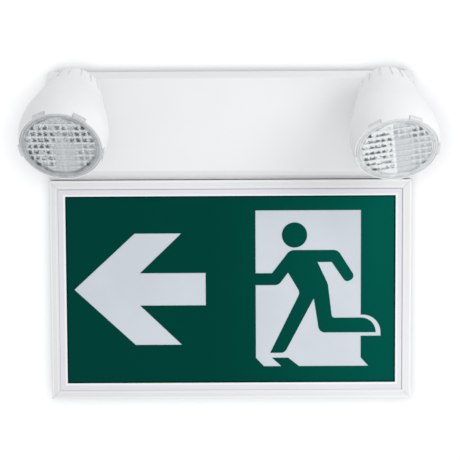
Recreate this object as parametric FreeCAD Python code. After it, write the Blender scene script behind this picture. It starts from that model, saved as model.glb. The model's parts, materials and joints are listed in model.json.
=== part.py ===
import FreeCAD, Part
import math
import os
from FreeCAD import Vector

# Emergency exit light for a wall: a folded steel battery housing with two adjustable lamp
# heads, and under it a lit running-man sign in a mitred aluminium frame.
# Millimetres. +X is right as one faces the light, +Y goes into the wall, +Z is up.
# The origin is on the wall plane, at the middle of the conduit knockout.

# ---------------------------------------------------------------- driving dimensions
DEPTH = 48.0                # wall to front face, the same for housing and sign
HOUSING_W = 335.8
HOUSING_H = 99.6
SHEET = 1.0                 # steel of the housing cover
PLATE = 1.2                 # steel of the back plate
REAR_GAP = 0.4              # cover rim stays this far off the wall
TOP_SLOPE = (12.0, 5.8)     # sloping strip above the face: how far back, how far up
BOTTOM_SLOPE = (8.0, 8.6)   # sloping strip below the face
BEND_R = 1.4                # outside radius of the folds

JOINT_GAP = 0.6             # between housing and sign frame
FRAME_W = 334.8
FRAME_H = 204.0
BORDER = 14.5               # frame bars and trim, as seen from the front
FRAME_DEPTH = 46.4

HEAD_X = 140.8              # sideways distance of each head's swivel axis
HEAD_Z = 29.0               # height of the swivel axes
HEAD_REACH = 28.0           # tilt pin in front of the face
AIM = {"left": (37.5, 8.2), "right": (41.5, -5.8)}   # rest tilt down, rest swivel
LENS_ROLL = {"left": -7.0, "right": -3.5}            # lens turned in its shell
TILT_UP = 15.0              # furthest above straight ahead
TILT_DOWN = 72.0            # furthest below straight ahead

# lamp head, measured back from the lens plane along its own axis
CROWN_S = 15.0              # widest section
CROWN_R = 39.4
CROWN_ARC = 64.0            # radius of the swelling round the widest section
CONE_S = 33.0               # where the swelling runs out into the cone
NECK_S = 77.5               # where the cone runs out into the domed end
LIP_S = -2.0                # front lip
TAIL_S = 82.0               # flat end
SHELL_WALL = 2.2
LENS_R = 30.5               # ribbed disc
RIM_R = 36.0                # flat rim round it
TAB_R = 38.0                # snap tabs
LENS_BANDS = 9

WALL_Y = 0.0
FACE_Y = -DEPTH
TOP_Z = HOUSING_H / 2
BOTTOM_Z = -HOUSING_H / 2
FRAME_TOP = BOTTOM_Z - JOINT_GAP
SIGN_Z = FRAME_TOP - FRAME_H / 2
INSIDE_X = HOUSING_W / 2 - SHEET

X = Vector(1, 0, 0)
Y = Vector(0, 1, 0)
Z = Vector(0, 0, 1)


# ---------------------------------------------------------------- small helpers
def box(x, y, z):
    """Box between two limits on each axis."""
    return Part.makeBox(x[1] - x[0], y[1] - y[0], z[1] - z[0], Vector(x[0], y[0], z[0]))


def face_of(points):
    """Flat face with straight sides through the given points."""
    corners = [Vector(*p) for p in points]
    return Part.Face(Part.makePolygon(corners + corners[:1]))


def fuse(shapes):
    """One clean solid from several that touch."""
    return shapes[0].multiFuse(shapes[1:]).removeSplitter()


def ring(outer, inner, length, base, axis):
    """Tube with its base circle at the given point."""
    tube = Part.makeCylinder(outer, length, base, axis)
    return tube.cut(Part.makeCylinder(inner, length, base, axis))


def hexagon(across_flats, length, base, axis):
    """Hexagonal prism, a flat side down where the axis is level."""
    r = across_flats / math.sqrt(3)
    angles = [math.radians(60 * k + 30) for k in range(6)]
    flat = face_of([(r * math.cos(a), r * math.sin(a), 0) for a in angles])
    prism = flat.extrude(Z * length)
    prism.Placement = FreeCAD.Placement(base, FreeCAD.Rotation(Z, axis))
    return prism


def hex_nut(across_flats, bore_r, length, base, axis):
    nut = hexagon(across_flats, length, base, axis)
    return nut.cut(Part.makeCylinder(bore_r, length, base, axis))


def pan_screw(shank_r, head_r, head_h, length, seat, axis):
    """Screw whose head rests at the seat; the axis points from the head to the tip."""
    shank = Part.makeCylinder(shank_r, length, seat, axis)
    head = Part.makeCone(head_r * 0.72, head_r, head_h, seat - axis * head_h, axis)
    return fuse([head, shank])


def save(name, shape):
    shape.exportStep(os.path.join("parts", name + ".step"))


# ---------------------------------------------------------------- battery housing
SCREW_Y = -7.0              # cover screws, in the back plate's flange
SCREW_ZS = (20.0, -24.0)
SCREW_R = 1.9
BUTTON_Y, BUTTON_Z = -27.0, -8.0
PILOT_Y, PILOT_Z = -27.0, 10.0
BUSH_R = 6.0                # threaded bush of the test switch
PILOT_R = 4.0
NECK_R = 10.0               # swivel neck through the face
BOLT_X = 112.0              # bolts that hold the sign under the housing
BOLT_Y = FACE_Y + 25.0
BOLT_R = 2.4
NIPPLE_R = 4.2              # hollow nipple for the sign's lead


def cover_section():
    """Side view of the housing cover, open to the wall."""
    rim = WALL_Y - REAR_GAP
    return [(0, rim, TOP_Z),
            (0, FACE_Y + TOP_SLOPE[0], TOP_Z),
            (0, FACE_Y, TOP_Z - TOP_SLOPE[1]),
            (0, FACE_Y, BOTTOM_Z + BOTTOM_SLOPE[1]),
            (0, FACE_Y + BOTTOM_SLOPE[0], BOTTOM_Z),
            (0, rim, BOTTOM_Z)]


def housing_cover():
    """Folded and welded tray with sloping strips along the top and bottom of its face."""
    prism = face_of(cover_section()).extrude(X * HOUSING_W)
    prism.translate(X * (-HOUSING_W / 2))
    folds = [e for e in prism.Edges if min(v.Y for v in e.Vertexes) < WALL_Y - REAR_GAP - 1
             and abs(e.Vertexes[0].Point.y - e.Vertexes[-1].Point.y) < 0.01
             and e.Length > HOUSING_W - 1]
    prism = prism.makeFillet(BEND_R, folds)
    back = [f for f in prism.Faces if f.BoundBox.YMin > WALL_Y - REAR_GAP - 0.01]
    tray = prism.makeThickness(back, -SHEET, 0.001)
    holes = [Part.makeCylinder(NECK_R + 0.3, 8, Vector(side * HEAD_X, FACE_Y - 4, HEAD_Z), Y)
             for side in (-1, 1)]
    for side in (-1, 1):
        for z in SCREW_ZS:
            holes.append(Part.makeCylinder(SCREW_R + 0.2, 8, Vector(side * INSIDE_X - 4, SCREW_Y, z), X))
        holes.append(Part.makeCylinder(BOLT_R + 0.2, 6, Vector(side * BOLT_X, BOLT_Y, BOTTOM_Z - 3), Z))
    holes.append(Part.makeCylinder(NIPPLE_R + 0.1, 6, Vector(0, BOLT_Y, BOTTOM_Z - 3), Z))
    holes.append(Part.makeCylinder(BUSH_R + 0.1, 8, Vector(INSIDE_X - 4, BUTTON_Y, BUTTON_Z), X))
    holes.append(Part.makeCylinder(PILOT_R + 0.1, 8, Vector(INSIDE_X - 4, PILOT_Y, PILOT_Z), X))
    return tray.cut(holes)


FLANGE = 12.0               # depth of the back plate's folded edge
KNOCKOUT_R = 11.1           # trade size 1/2 conduit
BOX_SPACING = 83.3          # upright screws of a single-gang device box
BOX_HOLE_R = 2.4
WALL_SCREWS = (250.0, 66.0)
WALL_HOLE_R = 2.5
STUD_R = 1.9
STUD_LENGTH = 9.0

CELL_R = 13.0
CELL_H = 50.0
CELLS = 4
PACK_X = -82.0              # middle of the battery pack
PACK_Y = -PLATE - CELL_R
STRAP = 1.2
STRAP_W = 14.0
FOOT = 9.0


def strap_feet():
    """Middle of the two feet of the battery strap."""
    half = CELLS * CELL_R + STRAP + FOOT / 2
    return [Vector(PACK_X + side * half, -PLATE, 0) for side in (-1, 1)]


def back_plate():
    """Pan with a folded edge all round, relieved at its corners, with two welded studs."""
    half_x = INSIDE_X - 0.3
    half_z = TOP_Z - SHEET - 0.3
    pan = box((-half_x, half_x), (-FLANGE, WALL_Y), (-half_z, half_z))
    outline = [e for e in pan.Edges if min(v.Y for v in e.Vertexes) > WALL_Y - 0.01]
    pan = pan.makeFillet(BEND_R, outline)
    front = [f for f in pan.Faces if f.BoundBox.YMax < -FLANGE + 0.01]
    pan = pan.makeThickness(front, -PLATE, 0.001)
    holes = [Part.makeCylinder(KNOCKOUT_R, 8, Vector(0, -4, 0), Y)]
    for side in (-1, 1):
        holes.append(Part.makeCylinder(BOX_HOLE_R, 8, Vector(0, -4, side * BOX_SPACING / 2), Y))
        for z in (-1, 1):
            spot = Vector(side * WALL_SCREWS[0] / 2, -4, z * WALL_SCREWS[1] / 2)
            holes.append(Part.makeCylinder(WALL_HOLE_R, 8, spot, Y))
            relief = Vector(side * half_x, 0, z * half_z)
            holes.append(box((relief.x - 2.5, relief.x + 2.5), (-FLANGE - 1, -3.2),
                             (relief.z - 2.5, relief.z + 2.5)))
        for z in SCREW_ZS:
            holes.append(Part.makeCylinder(SCREW_R + 0.05, 8, Vector(side * half_x - 4, SCREW_Y, z), X))
    studs = [Part.makeCylinder(STUD_R, STUD_LENGTH, foot, -Y) for foot in strap_feet()]
    return fuse([pan.cut(holes)] + studs)


def cover_screws():
    """Two screws in each cheek, into the back plate's edge."""
    screws = []
    for side in (-1, 1):
        for z in SCREW_ZS:
            seat = Vector(side * HOUSING_W / 2, SCREW_Y, z)
            screws.append(pan_screw(SCREW_R, 3.6, 1.8, 7.0, seat, X * -side))
    return Part.makeCompound(screws)


def battery_pack():
    """Row of upright cells in a tight sleeve."""
    first = PACK_X - (CELLS - 1) * CELL_R
    cells = [Part.makeCylinder(CELL_R, CELL_H, Vector(first + 2 * CELL_R * k, PACK_Y, -CELL_H / 2), Z)
             for k in range(CELLS)]
    web = box((first, first + 2 * CELL_R * (CELLS - 1)), (PACK_Y - 9, PACK_Y + 9), (-CELL_H / 2, CELL_H / 2))
    return fuse(cells + [web])


def battery_strap():
    """Folded strap over the cells, with a drilled foot at each end."""
    half = CELLS * CELL_R
    front = PACK_Y - CELL_R
    low = -PLATE
    outer = [(PACK_X - half - STRAP - FOOT, low, 0), (PACK_X - half - STRAP - FOOT, low - STRAP, 0),
             (PACK_X - half - STRAP, low - STRAP, 0), (PACK_X - half - STRAP, front - STRAP, 0),
             (PACK_X + half + STRAP, front - STRAP, 0), (PACK_X + half + STRAP, low - STRAP, 0),
             (PACK_X + half + STRAP + FOOT, low - STRAP, 0), (PACK_X + half + STRAP + FOOT, low, 0),
             (PACK_X + half, low, 0), (PACK_X + half, front, 0),
             (PACK_X - half, front, 0), (PACK_X - half, low, 0)]
    strap = face_of(outer).extrude(Z * STRAP_W)
    strap.translate(Z * (-STRAP_W / 2))
    holes = [Part.makeCylinder(STUD_R + 0.1, 6, foot + Y * 2, -Y) for foot in strap_feet()]
    return strap.cut(holes)


def strap_nuts():
    """Nuts on the welded studs."""
    return Part.makeCompound([hex_nut(6.0, STUD_R + 0.03, 3.0, foot - Y * STRAP, -Y)
                              for foot in strap_feet()])


BOARD_X = (42.0, 122.0)
BOARD_Z = (-38.0, 38.0)
STANDOFF = 8.0
BOARD = 1.6
BOARD_FRONT = -PLATE - STANDOFF - BOARD


def board_corners():
    return [Vector(x, -PLATE, z) for x in (BOARD_X[0] + 4, BOARD_X[1] - 4)
            for z in (BOARD_Z[0] + 4, BOARD_Z[1] - 4)]


def circuit_board():
    """Charger board with its soldered relay, capacitors and finned regulator."""
    board = box(BOARD_X, (BOARD_FRONT, BOARD_FRONT + BOARD), BOARD_Z)
    board = board.cut([Part.makeCylinder(1.7, 20, c - Y * 20, Y) for c in board_corners()])
    relay = box((52, 68), (BOARD_FRONT - 14, BOARD_FRONT), (18, 32))
    caps = [Part.makeCylinder(5.0, 17, Vector(x, BOARD_FRONT, 24), -Y) for x in (78, 91)]
    web = box((96, 99), (BOARD_FRONT - 16, BOARD_FRONT), (-10, 12))
    fins = [box((99, 107), (BOARD_FRONT - 16, BOARD_FRONT), (-10 + 5 * k, -8 + 5 * k)) for k in range(5)]
    return fuse([board, relay, web] + caps + fins)


def board_standoffs():
    """Four hexagonal pillars with a pip that snaps into the board."""
    pillars = []
    for corner in board_corners():
        pillar = hexagon(6.0, STANDOFF, corner, -Y)
        pip = Part.makeCylinder(1.6, STANDOFF + BOARD + 1.5, corner, -Y)
        pillars.append(fuse([pillar, pip]))
    return Part.makeCompound(pillars)


def transformer():
    """Laminated core round a bobbin."""
    x0, x1 = 50.0, 86.0
    z0, z1 = -34.0, -4.0
    back = BOARD_FRONT
    core = box((x0, x1), (back - 20, back - 6), (z0, z1))
    windows = [box((x, x + 6), (back - 21, back - 5), (z0 + 6, z1 - 6)) for x in (x0 + 6, x1 - 12)]
    coil = box((x0 + 7, x1 - 7), (back - 25, back), (z0 + 6.5, z1 - 6.5))
    coil = coil.makeFillet(2.5, [e for e in coil.Edges if abs(e.tangentAt(e.FirstParameter).z) > 0.9])
    return fuse([core.cut(windows), coil])


def terminal_block():
    """Three-way screw terminal for the supply wires."""
    x0, z0, pitch = 100.0, 16.0, 7.5
    block = box((x0, x0 + 12), (BOARD_FRONT - 13, BOARD_FRONT), (z0 - 4, z0 - 4 + 3 * pitch))
    front_edge = [e for e in block.Edges if e.Length > 2 * pitch and e.BoundBox.XMax < x0 + 1
                  and e.BoundBox.YMax < BOARD_FRONT - 12]
    block = block.makeChamfer(2.0, front_edge)
    holes = []
    for k in range(3):
        z = z0 - 4 + pitch * (k + 0.5)
        holes.append(Part.makeCylinder(2.4, 7, Vector(x0 + 13, BOARD_FRONT - 5, z), -X))
        holes.append(Part.makeCylinder(2.0, 5, Vector(x0 + 6, BOARD_FRONT - 14, z), Y))
    return block.cut(holes)


# ---------------------------------------------------------------- test switch and pilot lamp
CAP_R = 4.2
CAP_PROUD = 3.4
CAP_TRAVEL = 2.0
PLUNGER_R = 1.6
SWITCH_NUT_H = 3.5
BEZEL_H = 1.4


def side_turned(profile, y, z):
    """Turned piece on the right cheek; the profile gives (distance outwards, radius)."""
    wire = [(HOUSING_W / 2 + d, y + r, z) for d, r in profile]
    return face_of(wire).revolve(Vector(0, y, z), X, 360)


def test_switch():
    """Switch body behind the cheek, its bush through it and its bezel outside."""
    shoulder = -SHEET - SWITCH_NUT_H - 1
    return side_turned([(-22, 0), (-22, 8), (shoulder, 8), (shoulder, BUSH_R), (0, BUSH_R), (0, 7.6),
                        (BEZEL_H, 7.0), (BEZEL_H, CAP_R + 0.3), (-8, CAP_R + 0.3), (-8, PLUNGER_R + 0.1),
                        (-8 - CAP_TRAVEL - 2, PLUNGER_R + 0.1), (-8 - CAP_TRAVEL - 2, 0)], BUTTON_Y, BUTTON_Z)


def switch_nut():
    base = Vector(INSIDE_X, BUTTON_Y, BUTTON_Z)
    return hex_nut(15.0, BUSH_R + 0.05, SWITCH_NUT_H, base, -X)


def test_button():
    """Push cap, slightly dished, with its plunger in the switch."""
    plunger = [(-9.8, 0), (-9.8, PLUNGER_R), (-5.0, PLUNGER_R)]
    cap = [(-5.0, CAP_R), (CAP_PROUD - 0.8, CAP_R), (CAP_PROUD, CAP_R - 0.8), (CAP_PROUD, 2.6),
           (CAP_PROUD - 0.5, 0)]
    return side_turned(plunger + cap, BUTTON_Y, BUTTON_Z)


def pilot_lamp():
    """Domed lens of the charge lamp, snapped into the cheek."""
    dome = [(0, 5.0), (0.8, 4.6), (1.6, 3.4), (2.1, 1.8), (2.2, 0)]
    barrel = [(-9, 0), (-9, PILOT_R - 0.6), (-SHEET, PILOT_R - 0.6), (-SHEET, PILOT_R), (0, PILOT_R)]
    return side_turned(barrel + dome, PILOT_Y, PILOT_Z)


# ---------------------------------------------------------------- lamp heads
def cone_slope():
    """Fall of the radius per millimetre along the cone."""
    run = CONE_S - CROWN_S
    return run / math.sqrt(CROWN_ARC ** 2 - run ** 2)


def crown_radius(s, inset=0.0):
    """Radius of the swelling at a station, the wall set in by the inset."""
    arc = CROWN_ARC - inset
    return CROWN_R - CROWN_ARC + math.sqrt(arc ** 2 - (s - CROWN_S) ** 2)


def cone_radius(s, inset=0.0):
    slope = cone_slope()
    start = crown_radius(CONE_S)
    return start - slope * (s - CONE_S) - inset * math.sqrt(1 + slope ** 2)


DOME_R = cone_radius(NECK_S) * math.sqrt(1 + cone_slope() ** 2)
PIVOT_S = NECK_S - DOME_R * cone_slope() / math.sqrt(1 + cone_slope() ** 2)


def dome_radius(s, inset=0.0):
    return math.sqrt((DOME_R - inset) ** 2 - (s - PIVOT_S) ** 2)


PIN_R = 2.5
EYE_R = 8.0
EYE_HALF = 4.5
EAR = 3.0
EAR_GAP = 0.3
STEM_R = 5.6
DISC_R = 14.6
DISC_H = 3.0
BULKHEAD_S = (PIVOT_S - 15.5, PIVOT_S - 13.5)
VENTS = 16
VENT_W = 2.2
VENT_S = 66.0
SLOT_HALF = 7.0
LENS_BACK = 2.2             # where the lens ends and the reflector's flange starts
SEAT_S = 3.2                # step in the shell that the flange bears on
FLANGE_R = 35.4
SEAT_R = 34.2


def turned(edges):
    """Solid of revolution about the head's own axis from a closed chain of edges in XZ."""
    wire = Part.Wire(edges)
    return Part.Face(wire).revolve(Vector(0, 0, 0), Z, 360)


def line(a, b):
    return Part.LineSegment(Vector(a[0], 0, a[1]), Vector(b[0], 0, b[1])).toShape()


def arc(a, b, c):
    return Part.Arc(Vector(a[0], 0, a[1]), Vector(b[0], 0, b[1]), Vector(c[0], 0, c[1])).toShape()


def lathe(points):
    """Solid of revolution with straight sides through (radius, station) points."""
    return turned([line(a, b) for a, b in zip(points, points[1:] + points[:1])])


def bell(front, inner_r, back, inset):
    """Turned bell from a front station to a back station, the wall set in by the inset."""
    slope = cone_slope()
    shift = inset * slope / math.sqrt(1 + slope ** 2)
    neck_s = NECK_S - shift
    neck = (dome_radius(neck_s, inset), neck_s)
    tail = (dome_radius(back, inset), back)
    dome = arc(neck, (dome_radius((neck_s + back) / 2, inset), (neck_s + back) / 2), tail)
    closing = [dome, line(tail, (inner_r, back)), line((inner_r, back), (inner_r, front))]
    if front > CONE_S:
        start = (cone_radius(front, inset), front)
        return turned([line((inner_r, front), start), line(start, neck)] + closing)
    start = (crown_radius(front, inset), front)
    crown_end = (crown_radius(CONE_S - shift, inset), CONE_S - shift)
    crown = arc(start, (crown_radius(CROWN_S, inset), CROWN_S), crown_end)
    return turned([line((inner_r, front), start), crown, line(crown_end, neck)] + closing)


def stack(steps):
    """Turned solid from (radius, front, back) cylinders, one behind the other."""
    return fuse([Part.makeCylinder(r, s1 - s0, Vector(0, 0, s0), Z) for r, s0, s1 in steps])


TAB_ANGLES = (11, 169, 243, 300)
TAB_HALF = 9.0              # half the angle that a tab covers
TAB_S = (-2.6, 1.2)


def sector(inner, outer, s0, s1, middle, half):
    """Piece of a tube between two radii and about a middle angle."""
    tube = ring(outer, inner, s1 - s0, Vector(0, 0, s0), Z)
    wedge = Part.makeCylinder(outer + 1, s1 - s0, Vector(0, 0, s0), Z, 2 * half)
    wedge.rotate(Vector(0, 0, 0), Z, middle - half)
    return tube.common(wedge)


def tilt_slot():
    """Sweep of the stem through the domed end, from its furthest up to its furthest down."""
    reach = DOME_R + 12
    ends = [math.radians(a) for a in (-TILT_UP, TILT_DOWN)]
    hub, first, middle, last = [Vector(-SLOT_HALF, r * math.sin(a), PIVOT_S + r * math.cos(a)) for r, a in
                                ((0, 0), (reach, ends[0]), (reach, sum(ends) / 2), (reach, ends[1]))]
    edges = [Part.LineSegment(hub, first).toShape(), Part.Arc(first, middle, last).toShape(),
             Part.LineSegment(last, hub).toShape()]
    pieces = [Part.Face(Part.Wire(edges)).extrude(X * (2 * SLOT_HALF))]
    for angle in (-TILT_UP, TILT_DOWN):
        way = box((-SLOT_HALF, SLOT_HALF), (-SLOT_HALF, SLOT_HALF), (PIVOT_S, PIVOT_S + reach))
        way.rotate(Vector(0, 0, PIVOT_S), X, -angle)
        pieces.append(way)
    return fuse(pieces)


def head_shell(roll):
    """Bell-shaped shell with a rebated lip, an inner bulkhead with two ears for the tilt pin,
    a slot for the stem and a crown of vent slots round its domed end."""
    throat = cone_radius(CONE_S, SHELL_WALL)
    end = cone_radius(BULKHEAD_S[0], SHELL_WALL)
    lamp_room = lathe([(0, SEAT_S), (SEAT_R, SEAT_S), (throat, CONE_S), (end, BULKHEAD_S[0]),
                       (0, BULKHEAD_S[0])])
    mouth = stack([(RIM_R + 0.2, LIP_S - 1, LENS_BACK), (FLANGE_R + 0.3, LENS_BACK, SEAT_S)])
    tail_room = bell(BULKHEAD_S[1], 0, TAIL_S - SHELL_WALL, SHELL_WALL)
    shell = bell(LIP_S, 0, TAIL_S, 0).cut([lamp_room, mouth, tail_room, tilt_slot()])
    vents = []
    for k in range(VENTS):
        vent = box((0, CROWN_R), (-VENT_W / 2, VENT_W / 2), (VENT_S, TAIL_S + 1))
        vent = vent.cut(Part.makeCylinder(DOME_R - 6.0, 30, Vector(0, 0, VENT_S - 1), Z))
        vent.rotate(Vector(0, 0, 0), Z, 360 / VENTS * (k + 0.5))
        vents.append(vent)
    notches = [sector(RIM_R - 1, TAB_R + 3, TAB_S[0] - 1, TAB_S[1] + 0.2, angle + roll, TAB_HALF + 0.6)
               for angle in TAB_ANGLES]
    shell = shell.cut(vents + notches)
    wires = Part.makeCylinder(2.5, 10, Vector(12, 0, BULKHEAD_S[0] - 2), Z)
    ears = []
    for side in (-1, 1):
        near = EYE_HALF + EAR_GAP
        span = (near, near + EAR) if side > 0 else (-near - EAR, -near)
        plate = box(span, (-EYE_R, EYE_R), (BULKHEAD_S[0], PIVOT_S))
        boss = Part.makeCylinder(EYE_R, EAR, Vector(span[0], 0, PIVOT_S), X)
        ears.append(fuse([plate, boss]))
    pin = Part.makeCylinder(PIN_R + 0.02, 30, Vector(-15, 0, PIVOT_S), X)
    return fuse([shell] + ears).cut([pin, wires])


def head_lens(roll):
    """Clear lens: a disc of ridged bands, a flat rim and four snap tabs."""
    pitch = 2 * LENS_R / LENS_BANDS
    crest, valley, back = -2.4, -1.4, 0.4
    edges = []
    for k in range(LENS_BANDS):
        y = -LENS_R + k * pitch
        points = [Vector(0, y, valley), Vector(0, y + pitch / 2, crest), Vector(0, y + pitch, valley)]
        edges.append(Part.Arc(*points).toShape())
    edges.append(Part.LineSegment(Vector(0, LENS_R, valley), Vector(0, LENS_R, back)).toShape())
    edges.append(Part.LineSegment(Vector(0, LENS_R, back), Vector(0, -LENS_R, back)).toShape())
    edges.append(Part.LineSegment(Vector(0, -LENS_R, back), Vector(0, -LENS_R, valley)).toShape())
    bands = Part.Face(Part.Wire(edges)).extrude(X * (2 * LENS_R))
    bands.translate(X * -LENS_R)
    disc = bands.common(Part.makeCylinder(LENS_R, 6, Vector(0, 0, -4), Z))
    rim = ring(RIM_R, LENS_R - 0.4, LENS_BACK + 2.0, Vector(0, 0, -2.0), Z)
    tabs = [sector(RIM_R - 0.5, TAB_R, TAB_S[0], TAB_S[1], angle, TAB_HALF) for angle in TAB_ANGLES]
    lens = fuse([rim, disc] + tabs)
    lens.rotate(Vector(0, 0, 0), Z, roll)
    return lens


DISH_R = 32.4               # mouth of the dish
DISH_DEPTH = 29.0
DISH_HOLE = 7.0
DISH_WALL = 1.0


def dish_side(grow):
    """Points down the dish's parabola from its mouth to the lamp's hole, grown by the wall."""
    points = []
    for share in (1.0, 0.8, 0.55, DISH_HOLE / DISH_R):
        depth = DISH_DEPTH * (1 - share ** 2)
        points.append((DISH_R * share + grow * share, SEAT_S + depth + grow * (1 - share)))
    return points


def reflector():
    """Bright dish in three rings, with a flange that the lens clamps."""
    inner = dish_side(0)
    outer = dish_side(DISH_WALL)
    front = LENS_BACK
    flange = [(FLANGE_R, front + DISH_WALL), (FLANGE_R, front), (inner[0][0], front)]
    return lathe(inner + outer[::-1] + flange)


BULB_R = 5.6
BULB_TIP = 11.0
BULB_BASE_R = 4.6


def bulb():
    """Sealed capsule lamp with a tapered nose and a wedge base."""
    return lathe([(0, BULB_TIP), (1.0, BULB_TIP), (3.2, BULB_TIP + 1.6), (BULB_R, BULB_TIP + 6.0),
                  (BULB_R, 28.0), (BULB_BASE_R, 31.0), (BULB_BASE_R, 44.0), (0, 44.0)])


def bulb_holder():
    """Socket on the bulkhead that takes the lamp's base."""
    outer = stack([(8.5, 36.0, BULKHEAD_S[0]), (13.0, BULKHEAD_S[0] - 2.5, BULKHEAD_S[0])])
    pocket = Part.makeCylinder(BULB_BASE_R + 0.05, 8.0, Vector(0, 0, 36.0), Z)
    flats = [box((-20, 20), (side * 8.0, side * 8.0 + side * 20) if side > 0 else (-28.0, -8.0),
                 (30, BULKHEAD_S[0])) for side in (-1, 1)]
    return outer.cut([pocket] + flats)


def tilt_pin():
    """Pin through both ears and the swivel's eye."""
    half = EYE_HALF + EAR_GAP + EAR
    return Part.makeCylinder(PIN_R, 2 * half, Vector(-half, 0, PIVOT_S), X)


def swivel():
    """Disc on the housing's face, hollow neck through it, and a stem that ends in an eye.
    Built about the pivot, with the wall at +Z as the head's own axis has it."""
    face = HEAD_REACH
    disc = Part.makeCylinder(DISC_R, DISC_H - 1, Vector(0, 0, face - DISC_H + 1), Z)
    bevel = Part.makeCone(DISC_R - 1, DISC_R, 1, Vector(0, 0, face - DISC_H), Z)
    neck = Part.makeCylinder(NECK_R, 12.0, Vector(0, 0, face), Z)
    stem = Part.makeCylinder(STEM_R, face - DISC_H, Vector(0, 0, 0), Z)
    eye = Part.makeCylinder(EYE_R, 2 * EYE_HALF, Vector(-EYE_HALF, 0, 0), X)
    cheeks = box((-EYE_HALF, EYE_HALF), (-EYE_R - 1, EYE_R + 1), (-EYE_R - 1, EYE_R + 2))
    waist = stem.common(fuse([cheeks, box((-9, 9), (-9, 9), (EYE_R + 2, 40))]))
    body = fuse([disc, bevel, neck, waist, eye])
    lead_way = Part.makeCylinder(3.0, 30, Vector(0, 0, EYE_R + 3.5), Z)
    exit_way = Part.makeCylinder(2.2, 12, Vector(0, 0, EYE_R + 6.0), -Y)
    pin_way = Part.makeCylinder(PIN_R + 0.06, 20, Vector(-10, 0, 0), X)
    return body.cut([lead_way, exit_way, pin_way])


def swivel_washer():
    """Spring washer inside the cover."""
    return ring(13.2, NECK_R + 0.2, 1.2, Vector(0, 0, HEAD_REACH + SHEET), Z)


def swivel_nut():
    """Flat lock nut that clamps the swivel to the cover."""
    return hex_nut(22.6, NECK_R + 0.02, 4.0, Vector(0, 0, HEAD_REACH + SHEET + 1.2), Z)


def aimed(shape, side, tilt, swivel_angle, about):
    """Turns a piece from its own axis to its aim and moves it to its pivot."""
    placed = shape.copy()
    origin = Vector(0, 0, 0)
    placed.translate(Z * -about)
    placed.rotate(origin, X, tilt - 90)
    placed.rotate(origin, Y, swivel_angle)
    offset = -HEAD_X if side == "left" else HEAD_X
    placed.translate(Vector(offset, FACE_Y - HEAD_REACH, HEAD_Z))
    return placed


def save_head(side):
    tilt, turn = AIM[side]
    roll = LENS_ROLL[side]
    head = {"shell": head_shell(roll), "lens": head_lens(roll), "reflector": reflector(),
            "bulb": bulb(), "bulb_holder": bulb_holder(), "tilt_pin": tilt_pin()}
    for name, shape in head.items():
        save(side + "_" + name, aimed(shape, side, tilt, turn, PIVOT_S))
    mount = {"swivel": swivel(), "swivel_washer": swivel_washer(), "swivel_nut": swivel_nut()}
    for name, shape in mount.items():
        save(side + "_" + name, aimed(shape, side, 0, turn, 0))


# ---------------------------------------------------------------- sign frame
BAR = 1.5                   # wall of the extrusion
FILM_DEPTH = 2.0            # film behind the face
PANEL_SPACE = 4.2           # film and panel behind the trim
BAND = 5.4                  # proud outer band of a bar
BAND_STEP = 0.25            # inside it the bar lies back this far
WALL_END = 7.9              # inner edge of a bar's front wall
MITRE_GAP = 0.16            # between two bars, along the frame
KEY_RIB = 17.0
REAR_LEDGE = 42.6
RIB = 1.4
KEY_LIP = (7.4, 8.8)
REAR_INSET = 5.0
REAR_SCREW_XS = (-120, 0, 120)
REAR_SCREW_R = 1.5


def bar_section():
    """Section of the frame bar as (inwards, backwards) rectangles that join into one face."""
    panel_rib = FILM_DEPTH + PANEL_SPACE
    cells = [((0, BAND), (0, BAR)),
             ((BAND, WALL_END), (BAND_STEP, BAR)),
             ((0, BAR), (0, FRAME_DEPTH)),
             ((BAR, 11.0), (panel_rib, panel_rib + RIB)),
             ((BAR, KEY_LIP[1]), (KEY_RIB, KEY_RIB + RIB)),
             ((KEY_LIP[0], KEY_LIP[1]), (panel_rib + RIB, panel_rib + RIB + 1.4)),
             ((KEY_LIP[0], KEY_LIP[1]), (KEY_RIB - 1.4, KEY_RIB)),
             ((BAR, 8.0), (REAR_LEDGE, REAR_LEDGE + RIB))]
    faces = []
    for (u0, u1), (v0, v1) in cells:
        faces.append(face_of([(0, FACE_Y + v0, -u0), (0, FACE_Y + v0, -u1),
                              (0, FACE_Y + v1, -u1), (0, FACE_Y + v1, -u0)]))
    return faces[0].multiFuse(faces[1:]).removeSplitter().Faces[0]


def mitred_bar(length, turn):
    """Bar along the top of the sign, turned about the sign's middle to its own side."""
    bar = bar_section().extrude(X * length)
    reach = length / 2
    bar.translate(X * -reach)
    for side in (-1, 1):
        tip = side * (reach - MITRE_GAP / 2)
        wedge = face_of([(tip + side, FACE_Y - 5, 1), (tip + side, FACE_Y - 5, -40),
                         (tip - side * 40, FACE_Y - 5, -40)])
        bar = bar.cut(wedge.extrude(Y * (FRAME_DEPTH + 10)))
    height = FRAME_H / 2 if turn in (0, 180) else FRAME_W / 2
    if turn in (0, 180):
        ledge = FACE_Y + REAR_LEDGE
        bar = bar.cut([Part.makeCylinder(REAR_SCREW_R + 0.03, 4, Vector(x, ledge - 1, -REAR_INSET), Y)
                        for x in REAR_SCREW_XS])
    outer = [e for e in bar.Edges if e.BoundBox.YMax < FACE_Y + 0.01 and e.BoundBox.ZMin > -0.01]
    bar = bar.makeFillet(0.8, outer)
    bar.translate(Z * height)
    bar.rotate(Vector(0, 0, 0), Y, turn)
    bar.translate(Z * SIGN_Z)
    return bar


def frame_top():
    """Top bar, drilled for the two bolts and the lead's nipple."""
    holes = [Part.makeCylinder(BOLT_R + 0.2, 6, Vector(side * BOLT_X, BOLT_Y, FRAME_TOP - 4), Z)
             for side in (-1, 1)]
    holes.append(Part.makeCylinder(NIPPLE_R + 0.1, 6, Vector(0, BOLT_Y, FRAME_TOP - 4), Z))
    return mitred_bar(FRAME_W, 0).cut(holes)


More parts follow.
